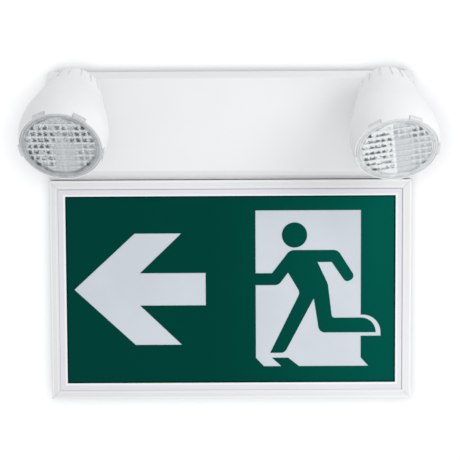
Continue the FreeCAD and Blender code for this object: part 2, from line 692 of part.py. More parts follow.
def corner_keys():
    """L-shaped keys in the bars' channels, one in each corner."""
    lo, hi = BAR, KEY_LIP[0] - 0.1
    front = FACE_Y + FILM_DEPTH + PANEL_SPACE + RIB + 0.2
    back = FACE_Y + KEY_RIB - 0.2
    keys = []
    for sx in (-1, 1):
        for sz in (-1, 1):
            corner = Vector(sx * FRAME_W / 2, 0, SIGN_Z + sz * FRAME_H / 2)
            outline = [(lo, lo), (28, lo), (28, hi), (hi, hi), (hi, 28), (lo, 28)]
            flat = face_of([(corner.x - sx * u, front, corner.z - sz * w) for u, w in outline])
            keys.append(flat.extrude(Y * (back - front)))
    return Part.makeCompound(keys)


PANEL_EDGE = 3.0            # panel stays this far inside the frame's outline
FILM = 0.3
PANEL = 3.6
FILM_Y = FACE_Y + FILM_DEPTH
TRIM_FLANGE = 0.5           # thin edge of the trim, behind the bars' front wall
TRIM_BEVEL = 0.4            # along its window
TRIM_PLAY = {"left": 0.15, "right": 0.9, "top": 0.5, "bottom": 0.15}   # it rests to the lower left


def panel_blank(thickness, front):
    half_x = FRAME_W / 2 - PANEL_EDGE
    half_z = FRAME_H / 2 - PANEL_EDGE
    return box((-half_x, half_x), (front, front + thickness), (SIGN_Z - half_z, SIGN_Z + half_z))


def panel_trim():
    """Trim round the window: its body fills the bars' opening, with play at the right and the top,
    and its flange lies behind their front wall."""
    front = FACE_Y + BAND_STEP
    half_x = FRAME_W / 2 - WALL_END
    half_z = FRAME_H / 2 - WALL_END
    window_x = FRAME_W / 2 - BORDER
    window_z = FRAME_H / 2 - BORDER
    body = box((-half_x + TRIM_PLAY["left"], half_x - TRIM_PLAY["right"]), (front, FILM_Y),
               (SIGN_Z - half_z + TRIM_PLAY["bottom"], SIGN_Z + half_z - TRIM_PLAY["top"]))
    window = box((-window_x, window_x), (front - 1, FILM_Y + 1), (SIGN_Z - window_z, SIGN_Z + window_z))
    trim = fuse([body, panel_blank(TRIM_FLANGE, FILM_Y - TRIM_FLANGE)]).cut(window)
    rim = [e for e in trim.Edges if e.BoundBox.YMax < front + 0.01
           and max(e.BoundBox.XMax, -e.BoundBox.XMin) < window_x + 0.01
           and e.BoundBox.ZMax < SIGN_Z + window_z + 0.01 and e.BoundBox.ZMin > SIGN_Z - window_z - 0.01]
    return trim.makeChamfer(TRIM_BEVEL, rim)


def diffuser_panel():
    """White acrylic plate; it shows through the cut-outs of the film."""
    return panel_blank(PANEL, FILM_Y + FILM)


def flat_shape(edges):
    """Cutter for the film from edges drawn about the sign's middle."""
    flat = Part.Face(Part.Wire(edges))
    solid = flat.extrude(Y * (FILM + 2))
    solid.translate(Vector(0, FILM_Y - 1, SIGN_Z))
    return solid


def outline(points):
    """Closed outline through (x, z) points; a third value rounds that corner to its radius."""
    edges = []
    count = len(points)
    trimmed = []
    for k, point in enumerate(points):
        here = Vector(point[0], 0, point[1])
        if len(point) == 2:
            trimmed.append((here, None, here))
            continue
        before = Vector(points[k - 1][0], 0, points[k - 1][1]) - here
        after = Vector(points[(k + 1) % count][0], 0, points[(k + 1) % count][1]) - here
        half = before.getAngle(after) / 2
        back_off = point[2] / math.tan(half)
        before.normalize()
        after.normalize()
        inwards = (before + after).normalize()
        middle = here + inwards * (point[2] / math.sin(half) - point[2])
        trimmed.append((here + before * back_off, middle, here + after * back_off))
    for k, (start, middle, end) in enumerate(trimmed):
        if middle is not None:
            edges.append(Part.Arc(start, middle, end).toShape())
        follow = trimmed[(k + 1) % count][0]
        if (follow - end).Length > 0.01:
            edges.append(Part.LineSegment(end, follow).toShape())
    return edges


ARROW_TIP = -145.5          # arrow: tip, wing, tail
ARROW_WING = (-89.0, -45.7, 52.2)
ARROW_SHAFT = (-84.3, -23.3, 15.2)
ARROW_Z = 0.6               # its middle above the sign's middle
DOOR_X = (23.1, 120.9)
DOOR_Z = (-72.3, 73.8)
LIMB = 11.2                 # thickness of the figure's arms
HEAD_RADIUS = 11.7
HEAD_SPOT = (59.3, 50.8)


def arrow():
    """Arrow to the left."""
    wing_in, wing_out, rise = ARROW_WING
    notch, tail, half = ARROW_SHAFT
    upper = [(ARROW_TIP, 0), (wing_in, rise), (wing_out, rise), (notch, half), (tail, half)]
    lower = [(x, -z) for x, z in reversed(upper[1:])]
    return flat_shape(outline([(x, z + ARROW_Z) for x, z in upper + lower]))


def doorway():
    """Doorway field with its threshold cut away where the figure's feet cast their gaps."""
    x0, x1 = DOOR_X
    z0, z1 = DOOR_Z
    step = 8.0
    return flat_shape(outline([(x0, z1), (x1, z1), (x1, z0 + step), (x1 + 7.2, z0), (63.4, z0),
                               (53.2, z0 + step), (38.2, z0 + step), (47.0, z0), (30.6, z0),
                               (x0, z0 + step)]))


def runner():
    """Running figure in one outline, from the hand at the door post round to the back knee."""
    x0 = DOOR_X[0] - 4
    return flat_shape(outline([
        (x0, 15.2), (38.4, 15.2), (55.0, 36.7, 8.0), (99.5, 36.7, 7.5), (116.0, 10.8, 4.6),
        (107.0, 6.4, 4.0), (93.8, 25.5), (80.6, 25.5), (90.2, 5.2, 12.0), (94.1, -26.8, 3.0),
        (134.8, -26.8, 13.6), (134.8, -40.6), (82.3, -40.6, 6.0), (77.2, -8.4), (50.0, -59.6, 6.0),
        (36.5, -59.6), (64.4, -3.0, 6.0), (53.3, 15.8), (44.5, 4.1, 7.0), (x0, 4.1)]))


def foot_outline():
    """White edge round the front foot, where it stands outside the doorway."""
    return flat_shape(outline([(DOOR_X[1] - 1, -24.0), (DOOR_X[1], -24.0), (139.4, -24.0, 16.5),
                               (139.4, -43.9), (DOOR_X[1] - 1, -43.9)]))


def legend_film():
    """Green film with the arrow and the doorway cut out round the figure that stays."""
    field = panel_blank(FILM, FILM_Y)
    spot = Vector(HEAD_SPOT[0], FILM_Y - 1, SIGN_Z + HEAD_SPOT[1])
    head = Part.makeCylinder(HEAD_RADIUS, FILM + 2, spot, Y)
    openings = fuse([doorway(), foot_outline()]).cut([runner(), head])
    return field.cut([arrow()] + openings.Solids)


def rear_cover():
    """Flat steel back of the sign, drilled for its screws."""
    half_x = FRAME_W / 2 - BAR - 0.4
    half_z = FRAME_H / 2 - BAR - 0.4
    front = FACE_Y + REAR_LEDGE + RIB
    plate = box((-half_x, half_x), (front, front + SHEET), (SIGN_Z - half_z, SIGN_Z + half_z))
    return plate.cut([Part.makeCylinder(REAR_SCREW_R + 0.2, 6, spot - Y * 3, Y)
                       for spot in rear_screw_spots()])


def rear_screw_spots():
    """Six screw places along the ledge of the frame."""
    back = FACE_Y + REAR_LEDGE + RIB + SHEET
    return [Vector(x, back, SIGN_Z + side * (FRAME_H / 2 - REAR_INSET))
            for side in (-1, 1) for x in REAR_SCREW_XS]


def rear_screws():
    return Part.makeCompound([pan_screw(REAR_SCREW_R, 2.9, 1.2, SHEET + 3.0, spot, -Y)
                              for spot in rear_screw_spots()])


LED_PITCH = 14.0
LED_COUNT = 20
STRIP_V = (32.6, 41.4)


def led_strip(side):
    """Narrow board with a row of square emitters that face the middle of the sign."""
    wall = SIGN_Z + side * (FRAME_H / 2 - BAR)
    y0, y1 = FACE_Y + STRIP_V[0], FACE_Y + STRIP_V[1]
    span = LED_COUNT * LED_PITCH / 2 + 3

    def heights(near, far):
        return tuple(sorted((wall - side * near, wall - side * far)))

    pieces = [box((-span, span), (y0, y1), heights(0, 1.2))]
    for k in range(LED_COUNT):
        x = (k - (LED_COUNT - 1) / 2) * LED_PITCH
        pieces.append(box((x - 1.75, x + 1.75), (y0 + 2.7, y0 + 6.2), heights(1.2, 2.2)))
    return fuse(pieces)


# ---------------------------------------------------------------- joining hardware
def joining_screws():
    """Two screws down through the housing floor into the sign's top bar."""
    seats = [Vector(side * BOLT_X, BOLT_Y, BOTTOM_Z + SHEET) for side in (-1, 1)]
    return Part.makeCompound([pan_screw(BOLT_R, 4.4, 2.4, 12.0, seat, -Z) for seat in seats])


def joining_nuts():
    seats = [Vector(side * BOLT_X, BOLT_Y, FRAME_TOP - BAR) for side in (-1, 1)]
    return Part.makeCompound([hex_nut(8.0, BOLT_R + 0.03, 4.0, seat, -Z) for seat in seats])


def lead_nipple():
    """Hollow threaded nipple that carries the sign's lead."""
    return ring(NIPPLE_R, NIPPLE_R - 1.2, 14.0, Vector(0, BOLT_Y, FRAME_TOP - BAR - 5.0), Z)


def nipple_nuts():
    upper = hex_nut(11.0, NIPPLE_R + 0.03, 3.0, Vector(0, BOLT_Y, BOTTOM_Z + SHEET), Z)
    lower = hex_nut(11.0, NIPPLE_R + 0.03, 3.0, Vector(0, BOLT_Y, FRAME_TOP - BAR), -Z)
    return Part.makeCompound([upper, lower])


def gap_washers():
    """Washers that fill the gap at each screw and at the nipple."""
    washers = [ring(6.5, BOLT_R + 0.2, JOINT_GAP, Vector(side * BOLT_X, BOLT_Y, FRAME_TOP), Z)
               for side in (-1, 1)]
    washers.append(ring(8.5, NIPPLE_R + 0.2, JOINT_GAP, Vector(0, BOLT_Y, FRAME_TOP), Z))
    return Part.makeCompound(washers)


# ---------------------------------------------------------------- write every piece
os.makedirs("parts", exist_ok=True)

PIECES = {
    "housing_cover": housing_cover,
    "back_plate": back_plate,
    "cover_screws": cover_screws,
    "battery_pack": battery_pack,
    "battery_strap": battery_strap,
    "strap_nuts": strap_nuts,
    "circuit_board": circuit_board,
    "board_standoffs": board_standoffs,
    "transformer": transformer,
    "terminal_block": terminal_block,
    "test_switch": test_switch,
    "switch_nut": switch_nut,
    "test_button": test_button,
    "pilot_lamp": pilot_lamp,
    "frame_top": frame_top,
    "frame_bottom": lambda: mitred_bar(FRAME_W, 180),
    "frame_left": lambda: mitred_bar(FRAME_H, 270),
    "frame_right": lambda: mitred_bar(FRAME_H, 90),
    "corner_keys": corner_keys,
    "panel_trim": panel_trim,
    "legend_film": legend_film,
    "diffuser_panel": diffuser_panel,
    "rear_cover": rear_cover,
    "rear_screws": rear_screws,
    "led_strip_top": lambda: led_strip(1),
    "led_strip_bottom": lambda: led_strip(-1),
    "joining_screws": joining_screws,
    "joining_nuts": joining_nuts,
    "lead_nipple": lead_nipple,
    "nipple_nuts": nipple_nuts,
    "gap_washers": gap_washers,
}

for piece_name, make in PIECES.items():
    save(piece_name, make())
for side_name in ("left", "right"):
    save_head(side_name)
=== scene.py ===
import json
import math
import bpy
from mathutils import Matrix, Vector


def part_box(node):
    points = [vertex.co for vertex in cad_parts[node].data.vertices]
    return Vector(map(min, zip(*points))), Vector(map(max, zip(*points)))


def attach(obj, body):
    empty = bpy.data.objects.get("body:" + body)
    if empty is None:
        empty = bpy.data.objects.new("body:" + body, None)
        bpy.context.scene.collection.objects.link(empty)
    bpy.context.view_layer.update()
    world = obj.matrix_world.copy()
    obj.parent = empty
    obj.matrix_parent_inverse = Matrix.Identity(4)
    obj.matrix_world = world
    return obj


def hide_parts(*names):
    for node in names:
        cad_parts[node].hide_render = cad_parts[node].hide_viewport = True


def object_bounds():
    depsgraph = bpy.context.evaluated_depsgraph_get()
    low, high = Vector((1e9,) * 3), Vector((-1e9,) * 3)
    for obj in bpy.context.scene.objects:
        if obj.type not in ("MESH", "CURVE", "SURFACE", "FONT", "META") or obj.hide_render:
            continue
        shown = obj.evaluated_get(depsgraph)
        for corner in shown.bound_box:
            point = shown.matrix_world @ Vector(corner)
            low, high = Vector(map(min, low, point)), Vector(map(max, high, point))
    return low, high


bl_info = {
    "name": "Emergency exit light",
    "version": (1, 0, 0),
    "blender": (4, 5, 0),
    "location": "View3D > Sidebar > Exit Light",
    "description": "Finishes a wall exit light: paint, sign film, lenses, screws and a studio",
    "category": "Object",
}

import bmesh
import bpy
from mathutils import Matrix, Vector

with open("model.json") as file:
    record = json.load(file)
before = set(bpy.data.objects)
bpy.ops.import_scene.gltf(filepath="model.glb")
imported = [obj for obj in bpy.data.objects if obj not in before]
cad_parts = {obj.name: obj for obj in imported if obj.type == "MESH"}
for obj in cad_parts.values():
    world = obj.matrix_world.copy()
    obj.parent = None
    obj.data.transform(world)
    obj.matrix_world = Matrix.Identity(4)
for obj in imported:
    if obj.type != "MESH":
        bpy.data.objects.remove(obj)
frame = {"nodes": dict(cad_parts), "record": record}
NODES = frame["nodes"]
RECORD = frame["record"]
CAD_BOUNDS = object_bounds()
SIDES = ("left", "right")
MM = 0.001
UP_LIMIT = 15.0             # degrees that a head tilts above straight ahead
BORDER = 14.5 * MM          # bar and trim together, seen from the front
BAND = 5.4 * MM             # proud outer band of a bar


def joint(name):
    """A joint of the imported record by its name."""
    return next(j for j in RECORD["behaviour"]["joints"] if j["name"] == name)


def head_place(side):
    """Pin centre and matrix of a lamp head: local +Z runs back along its axis from the pin."""
    tilt = joint(side + "_head_tilt")
    pin = Vector(tilt["pos_m"])
    across = Vector(tilt["axis"]).normalized()
    down = math.radians(-UP_LIMIT - tilt["range_deg"][0])
    swivel = Matrix((across, (0, 1, 0), across.cross(Vector((0, 1, 0))))).transposed()
    turn = swivel @ Matrix.Rotation(down - math.pi / 2, 3, "X")
    return pin, Matrix.Translation(pin) @ turn.to_4x4()


def lens_plane(side):
    """Distance from the pin to the foremost point of the lens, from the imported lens."""
    _, place = head_place(side)
    back = place.inverted()
    return min((back @ v.co).z for v in NODES[side + "_lens"].data.vertices)


# ---------------------------------------------------------------- user's settings
class FinishSettings(bpy.types.PropertyGroup):
    """Colours of the light's visible finishes."""
    housing: bpy.props.FloatVectorProperty(
        name="Housing paint", description="Powder coat on the steel housing", subtype="COLOR",
        size=3, min=0, max=1, default=(0.86, 0.86, 0.86))
    frame_bars: bpy.props.FloatVectorProperty(
        name="Frame paint", description="Coat on the bars of the sign", subtype="COLOR",
        size=3, min=0, max=1, default=(0.79, 0.79, 0.79))
    trim: bpy.props.FloatVectorProperty(
        name="Trim", description="Moulded trim round the sign film", subtype="COLOR",
        size=3, min=0, max=1, default=(0.77, 0.755, 0.79))
    lamp_shell: bpy.props.FloatVectorProperty(
        name="Lamp shells", description="Moulded plastic of the lamp heads", subtype="COLOR",
        size=3, min=0, max=1, default=(0.88, 0.88, 0.88))
    sign_green: bpy.props.FloatVectorProperty(
        name="Sign green", description="Safety green of the film", subtype="COLOR",
        size=3, min=0, max=1, default=(0.0006, 0.056, 0.041))
    sign_white: bpy.props.FloatVectorProperty(
        name="Sign white", description="Acrylic panel behind the cut-outs", subtype="COLOR",
        size=3, min=0, max=1, default=(0.61, 0.65, 0.70))


class LensSettings(bpy.types.PropertyGroup):
    """Sizes of the ribbed lens."""
    bands: bpy.props.IntProperty(
        name="Bands", description="Ridged bands across the front of the lens", default=9,
        min=3, max=20)
    flutes: bpy.props.IntProperty(
        name="Flutes", description="Flutes down the back of the lens", default=11, min=3, max=24)
    disc_radius: bpy.props.FloatProperty(
        name="Disc radius", description="Radius of the ribbed disc",
        subtype="DISTANCE", unit="LENGTH", default=30.5 * MM)
    rim_radius: bpy.props.FloatProperty(
        name="Rim radius", description="Outer radius of the flat rim",
        subtype="DISTANCE", unit="LENGTH", default=36.0 * MM)
    tab_radius: bpy.props.FloatProperty(
        name="Tab radius", description="How far the snap tabs reach",
        subtype="DISTANCE", unit="LENGTH", default=38.0 * MM)
    left_roll: bpy.props.FloatProperty(
        name="Left roll", description="Turn of the left lens in its shell", subtype="ANGLE",
        default=math.radians(-7.0))
    right_roll: bpy.props.FloatProperty(
        name="Right roll", description="Turn of the right lens in its shell", subtype="ANGLE",
        default=math.radians(-3.5))


class StudioSettings(bpy.types.PropertyGroup):
    """Camera and lamps."""
    lens_mm: bpy.props.FloatProperty(
        name="Focal length", description="Focal length on a 36 mm wide sensor", default=127.4,
        min=20, max=400)
    camera_at: bpy.props.FloatVectorProperty(
        name="Camera place", description="Where the camera stands", subtype="XYZ", unit="LENGTH",
        size=3, default=(0.0024, -1.548, 0.0472))
    pitch: bpy.props.FloatProperty(
        name="Pitch", description="How far the camera looks down", subtype="ANGLE",
        default=math.radians(5.47))
    yaw: bpy.props.FloatProperty(
        name="Yaw", description="How far the camera looks to the left", subtype="ANGLE",
        default=math.radians(0.11))
    roll: bpy.props.FloatProperty(
        name="Roll", description="Clockwise lean of the camera", subtype="ANGLE",
        default=math.radians(0.30))
    key_power: bpy.props.FloatProperty(
        name="Key lamp", description="Power of the lamp at the upper right", unit="POWER",
        default=3.4)
    front_power: bpy.props.FloatProperty(
        name="Front lamp", description="Power of the wide lamp behind the camera", unit="POWER",
        default=1.0)
    low_power: bpy.props.FloatProperty(
        name="Low lamp", description="Power of the soft lamp at the lower right", unit="POWER",
        default=1.1)
    paper_power: bpy.props.FloatProperty(
        name="Paper lamp", description="Power of the lamp that lights the paper alone",
        unit="POWER", default=12.0)
    room_level: bpy.props.FloatProperty(
        name="Room level", description="Strength of the even light from all sides", default=0.78,
        min=0, max=2)
    paper_level: bpy.props.FloatProperty(
        name="Paper", description="How bright the paper behind the light is kept", default=0.88,
        min=0.5, max=3)


# ---------------------------------------------------------------- shader helpers
MIX_FACTOR, MIX_FIRST, MIX_SECOND, MIX_RESULT = 0, 6, 7, 2      # a Mix node's colour sockets


class Wire:
    """A node's output that arithmetic turns into Math nodes."""

    def __init__(self, nodes, socket):
        self.nodes = nodes
        self.socket = socket

    def math(self, operation, *others):
        """A Math node that takes this value first."""
        inputs = dict(enumerate((self,) + others))
        return self.nodes.node("ShaderNodeMath", {"operation": operation}, inputs)

    def swapped(self, operation, other):
        """A Math node that takes this value second."""
        return self.nodes.node("ShaderNodeMath", {"operation": operation}, {0: other, 1: self})

    def also(self, output):
        """Another output of the same node, by its name or number."""
        return Wire(self.nodes, self.socket.node.outputs[output])

    def __add__(self, other):
        return self.math("ADD", other)

    def __sub__(self, other):
        return self.math("SUBTRACT", other)

    def __mul__(self, other):
        return self.math("MULTIPLY", other)

    def __truediv__(self, other):
        return self.math("DIVIDE", other)

    def __rsub__(self, other):
        return self.swapped("SUBTRACT", other)

    def __rtruediv__(self, other):
        return self.swapped("DIVIDE", other)

    def __abs__(self):
        return self.math("ABSOLUTE")

    __radd__ = __add__
    __rmul__ = __mul__

    def clamped(self):
        """This value held between 0 and 1."""
        return self.nodes.node("ShaderNodeClamp", {}, {"Value": self})

    def spread(self, low, high, to_low=0.0, to_high=1.0):
        """This value carried from one range to another, with soft ends."""
        return self.nodes.node("ShaderNodeMapRange", {"interpolation_type": "SMOOTHSTEP"},
                               {"Value": self, "From Min": low, "From Max": high,
                                "To Min": to_low, "To Max": to_high})


class Nodes:
    """The node tree of a material or of the world."""

    def __init__(self, owner):
        owner.use_nodes = True
        self.tree = owner.node_tree
        self.tree.nodes.clear()

    def node(self, kind, settings=None, inputs=None):
        """Makes a node: its settings first, then the values or links of its sockets."""
        made = self.tree.nodes.new(kind)
        for key, value in (settings or {}).items():
            setattr(made, key, value)
        for key, value in (inputs or {}).items():
            if isinstance(value, Wire):
                self.tree.links.new(value.socket, made.inputs[key])
            else:
                made.inputs[key].default_value = value
        return Wire(self, made.outputs[0]) if made.outputs else made


class Finish(Nodes):
    """A material whose patterns lie on Object coordinates."""

    def __init__(self, name):
        self.material = bpy.data.materials.new(name)
        super().__init__(self.material)
        self.place = self.node("ShaderNodeTexCoord").also("Object")

    def scaled(self, x, y, z):
        """Object coordinates stretched along each axis."""
        return self.node("ShaderNodeMapping", {}, {"Vector": self.place, "Scale": (x, y, z)})

    def axis(self, name):
        """One Object coordinate, in metres."""
        return self.node("ShaderNodeSeparateXYZ", {}, {"Vector": self.place}).also(name)

    def noise(self, scale, detail=2.0, rough=0.5, at=None):
        """Cloudy value around a half, at Object coordinates or at others."""
        return self.node("ShaderNodeTexNoise", {}, {"Vector": at or self.place, "Scale": scale,
                                                    "Detail": detail, "Roughness": rough})

    def cells(self, scale, output="Distance", feature="F1"):
        """Cell pattern: its distances or colours."""
        return self.node("ShaderNodeTexVoronoi", {"feature": feature},
                         {"Vector": self.place, "Scale": scale}).also(output)

    def blend(self, factor, first, second):
        """Mix of two colours."""
        mixed = self.node("ShaderNodeMix", {"data_type": "RGBA"},
                          {MIX_FACTOR: factor, MIX_FIRST: first, MIX_SECOND: second})
        return mixed.also(MIX_RESULT)

    def bump(self, height, distance, strength=1.0):
        """Normals of a relief as deep as the distance, in metres."""
        return self.node("ShaderNodeBump", {}, {"Height": height, "Distance": distance,
                                                "Strength": strength})

    def surface(self, **inputs):
        """Principled surface; underscores in the names stand for spaces."""
        named = {key.replace("_", " "): value for key, value in inputs.items()}
        return self.node("ShaderNodeBsdfPrincipled", {}, named)

    def done(self, shader):
        """Ends the material with its shader and returns it."""
        self.node("ShaderNodeOutputMaterial", {}, {"Surface": shader})
        return self.material


def rgba(colour, level=1.0):
    """Opaque colour, made darker or lighter by its level."""
    return (colour[0] * level, colour[1] * level, colour[2] * level, 1.0)


def sign_outline():
    """Middle and half sizes of the sign's frame, across and up."""
    left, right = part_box("frame_left")[0][0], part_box("frame_right")[1][0]
    low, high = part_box("frame_bottom")[0][2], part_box("frame_top")[1][2]
    return (left + right) / 2, (low + high) / 2, (right - left) / 2, (high - low) / 2


def depth_in_sign(f):
    """Distance inwards from the sign's outer edge, in metres."""
    middle_x, middle_z, half_x, half_z = sign_outline()
    across = half_x - abs(f.axis("X") - middle_x)
    up = half_z - abs(f.axis("Z") - middle_z)
    return across.math("MINIMUM", up)


# ---------------------------------------------------------------- finishes
# Paler colours of painted highlights: on the bars' arris and step, and on the trim's inner edge.
PAINTED_HIGHLIGHT_WHITE = (0.90, 0.90, 0.90, 1)
PAINTED_EDGE_HIGHLIGHT = (0.93, 0.95, 0.94, 1)


def powder_coat(name, colour):
    """Baked powder coat on metal: faint orange peel, slightly uneven sheen."""
    f = Finish(name)
    peel = f.noise(1500.0, 2.0)
    drift = f.noise(9.0, 3.0)
    dust = f.noise(5200.0, 1.0).spread(0.66, 0.78)
    tint = f.blend(drift.spread(0.35, 0.68), rgba(colour, 0.975), rgba(colour))
    tint = f.blend(dust * 0.12, tint, rgba(colour, 0.72))
    rough = 0.40 + f.noise(60.0, 3.0) * 0.12
    relief = f.bump(peel, 0.00003, 0.5)
    return f.done(f.surface(Base_Color=tint, Roughness=rough, Normal=relief,
                            Specular_IOR_Level=0.45))


def bar_coat(name, colour):
    """Coat on the bars, with painted highlights along the outer arris and the band's step and
    painted shade in the gap by the trim.
    """
    f = Finish(name)
    inward = depth_in_sign(f)
    peel = f.noise(2200.0, 2.0)
    tint = f.blend(f.noise(9.0, 3.0).spread(0.35, 0.68), rgba(colour, 0.975), rgba(colour))
    # Painted highlights: paler along the outer arris and along the band's step.
    arris = inward.spread(2.2 * MM, 1.0 * MM) * 0.75
    step = abs(inward - (BAND + 0.4 * MM)).spread(0.8 * MM, 0.3 * MM) * 0.5
    tint = f.blend((arris + step).clamped(), tint, PAINTED_HIGHLIGHT_WHITE)
    # Painted shade: darker in the gap between the bar and the trim.
    shade = abs(inward - (BORDER - 6.4 * MM)).spread(0.6 * MM, 0.2 * MM) * 0.35
    tint = f.blend(shade, tint, rgba(colour, 0.6))
    rough = 0.42 + f.noise(60.0, 3.0) * 0.12
    return f.done(f.surface(Base_Color=tint, Roughness=rough, Normal=f.bump(peel, 0.00002, 0.5),
                            Specular_IOR_Level=0.45))


def trim_plastic(name, colour):
    """Moulded trim with a painted highlight on its inner edge round the film."""
    f = Finish(name)
    # Painted highlight: paler near the inner edge round the film.
    edge = depth_in_sign(f).spread(BORDER - 2.1 * MM, BORDER - 1.2 * MM)
    tint = f.blend(f.noise(24.0, 2.0).spread(0.3, 0.7), rgba(colour, 0.965), rgba(colour))
    tint = f.blend(edge * 0.9, tint, PAINTED_EDGE_HIGHLIGHT)
    return f.done(f.surface(Base_Color=tint, Roughness=0.45 + f.noise(140.0, 2.0) * 0.1,
                            Normal=f.bump(f.noise(2600.0, 1.0), 0.00002, 0.5)))


def moulded(name, colour, rough=0.42):
    """Injection-moulded plastic with a fine spark-eroded grain."""
    f = Finish(name)
    drift = f.noise(24.0, 2.0)
    tint = f.blend(drift.spread(0.3, 0.7), rgba(colour, 0.965), rgba(colour))
    relief = f.bump(f.noise(2600.0, 1.0), 0.00002, 0.5)
    sheen = rough + f.noise(140.0, 2.0) * 0.10
    return f.done(f.surface(Base_Color=tint, Roughness=sheen, Normal=relief))


def sign_film(name, colour):
    """Printed vinyl film: matt ink, with painted light that makes it lighter towards the right and
    the top, and a painted shadow under its trim.
    """
    f = Finish(name)
    # Painted light: the film lighter towards the right and the top.
    along = f.axis("X").spread(-0.03, 0.17) * f.axis("Z").spread(-0.24, -0.06, 0.72, 1.0)
    fleck = f.noise(900.0, 2.0)
    tint = f.blend(along, rgba(colour, 0.93), rgba(colour, 1.72))
    tint = f.blend(fleck.spread(0.62, 0.75) * 0.12, tint, rgba(colour, 1.6))
    # Painted shadow of the trim along the film's edge.
    rim = depth_in_sign(f).spread(BORDER + 1.7 * MM, BORDER + 0.9 * MM) * 0.85
    tint = f.blend(rim, tint, rgba(colour, 0.25))
    relief = f.bump(f.noise(320.0, 3.0), 0.00002, 0.35)
    return f.done(f.surface(Base_Color=tint, Roughness=0.55 + fleck * 0.10, Normal=relief,
                            Specular_IOR_Level=0.0))


def acrylic(name, colour):
    """Opal acrylic sheet."""
    f = Finish(name)
    cloud = f.noise(16.0, 3.0)
    tint = f.blend(cloud.spread(0.35, 0.65), rgba(colour, 0.965), rgba(colour, 1.02))
    return f.done(f.surface(Base_Color=tint, Roughness=0.34 + f.noise(200.0, 2.0) * 0.08,
                            Normal=f.bump(f.noise(700.0, 2.0), 0.00001, 0.4)))


def galvanised(name):
    """Hot-dip galvanised steel sheet with its spangle."""
    f = Finish(name)
    crystal = f.cells(95.0, "Color")
    grey = f.node("ShaderNodeSeparateColor", {}, {"Color": crystal})
    stain = f.noise(14.0, 4.0)
    level = grey * 0.28 + stain * 0.2
    tint = f.blend(level.clamped(), (0.50, 0.51, 0.52, 1), (0.72, 0.73, 0.74, 1))
    relief = f.bump(f.cells(95.0), 0.00003, 0.4)
    return f.done(f.surface(Base_Color=tint, Roughness=0.36 + grey * 0.22, Metallic=0.9,
                            Normal=relief))


def plated(name):
    """Bright zinc plate on screws, nuts and pins."""
    f = Finish(name)
    haze = f.noise(420.0, 3.0)
    tint = f.blend(haze.spread(0.4, 0.7), (0.74, 0.74, 0.72, 1), (0.66, 0.64, 0.58, 1))
    relief = f.bump(f.noise(1900.0, 2.0), 0.00002, 0.5)
    return f.done(f.surface(Base_Color=tint, Roughness=0.24 + haze * 0.16, Metallic=1.0,
                            Normal=relief))


def cast_metal(name, colour):
    """Die-cast or dark laminated metal with a grainy skin."""
    f = Finish(name)
    grit = f.noise(800.0, 4.0)
    tint = f.blend(grit.spread(0.35, 0.7), rgba(colour, 0.8), rgba(colour, 1.15))
    return f.done(f.surface(Base_Color=tint, Roughness=0.5 + grit * 0.2, Metallic=0.8,
                            Normal=f.bump(grit, 0.00006, 0.6)))


def bright_dish(name):
    """Vacuum-metallised plastic of the reflector, slightly rippled."""
    f = Finish(name)
    ripple = f.noise(110.0, 2.0)
    tint = f.blend(f.noise(60.0, 3.0), (0.80, 0.81, 0.82, 1), (0.93, 0.94, 0.95, 1))
    return f.done(f.surface(Base_Color=tint, Roughness=0.08 + ripple * 0.10, Metallic=1.0,
                            Normal=f.bump(ripple, 0.0003, 0.5)))


def clear_moulding(name, colour=(0.93, 0.95, 0.95), rough=0.03):
    """Clear polycarbonate with a trace of moulding haze."""
    f = Finish(name)
    haze = f.noise(260.0, 3.0)
    tint = f.blend(haze, rgba(colour, 0.97), rgba(colour))
    return f.done(f.surface(Base_Color=tint, Roughness=rough + haze * 0.04, Transmission_Weight=1.0,
                            IOR=1.50, Normal=f.bump(haze, 0.00002, 0.3)))


# Colours and weights of the two lenses' painted light: a grey body and rim, painted darker on the
# left lens, dark painted reflections, pale painted highlights and painted shade at the lower edge
# of the disc, with the share of a diffuse layer that shows them. Pairs are where a zone of the disc
# starts and is full, in metres: "left" and "right" across it, "top" down it.
LOOKS = {
    "left": {"body": (0.67, 0.70, 0.71), "haze": 0.70, "streaks": 0.0, "lip": 0.7,
             "painted_pale_left": 0.0, "left": (-0.004, -0.010), "right": (0.008, 0.016),
             "top": (-0.001, -0.006), "left_depth": 1.0, "right_depth": 0.62, "top_depth": 0.8,
             "stripe": 0.001, "stripe_depth": 0.15, "rim": (0.60, 0.62, 0.63), "painted_rim_edge": 0.6},
    "right": {"body": (0.74, 0.77, 0.79), "haze": 0.70, "streaks": 0.6, "lip": 0.35,
              "painted_pale_left": 0.8, "left": (-0.002, -0.006), "right": (0.008, 0.014),
              "top": (-0.010, -0.015), "left_depth": 1.0, "right_depth": 0.45, "top_depth": 0.5,
              "stripe": -0.003, "stripe_depth": 0.9, "rim": (0.86, 0.88, 0.88), "painted_rim_edge": 0.8},
}
# Colours of the painted reflections: dark in the cells and streaks, pale on the highlights.
PAINTED_DARK_REFLECTION = (0.020, 0.034, 0.034, 1)
PAINTED_PALE_REFLECTION = (0.93, 0.95, 0.95, 1)


def cell_offset(coordinate, pitch):
    """0 at the middle of a cell of that pitch, 1 at its border; a cell is centred on 0."""
    turn = (coordinate / pitch + 0.5).math("FRACT")
    return abs(turn - 0.5) * 2.0


def lens_coordinates(f, place):
    """Coordinates in a lens's own plane: across it, down it, and the distance from its middle."""
    local = f.node("ShaderNodeMapping", {"vector_type": "TEXTURE"},
                   {"Vector": f.place, "Location": place.translation, "Rotation": place.to_euler()})
    across = f.node("ShaderNodeSeparateXYZ", {}, {"Vector": local})
    down = across.also("Y")
    return local, across, down, (across * across + down * down).math("SQRT")


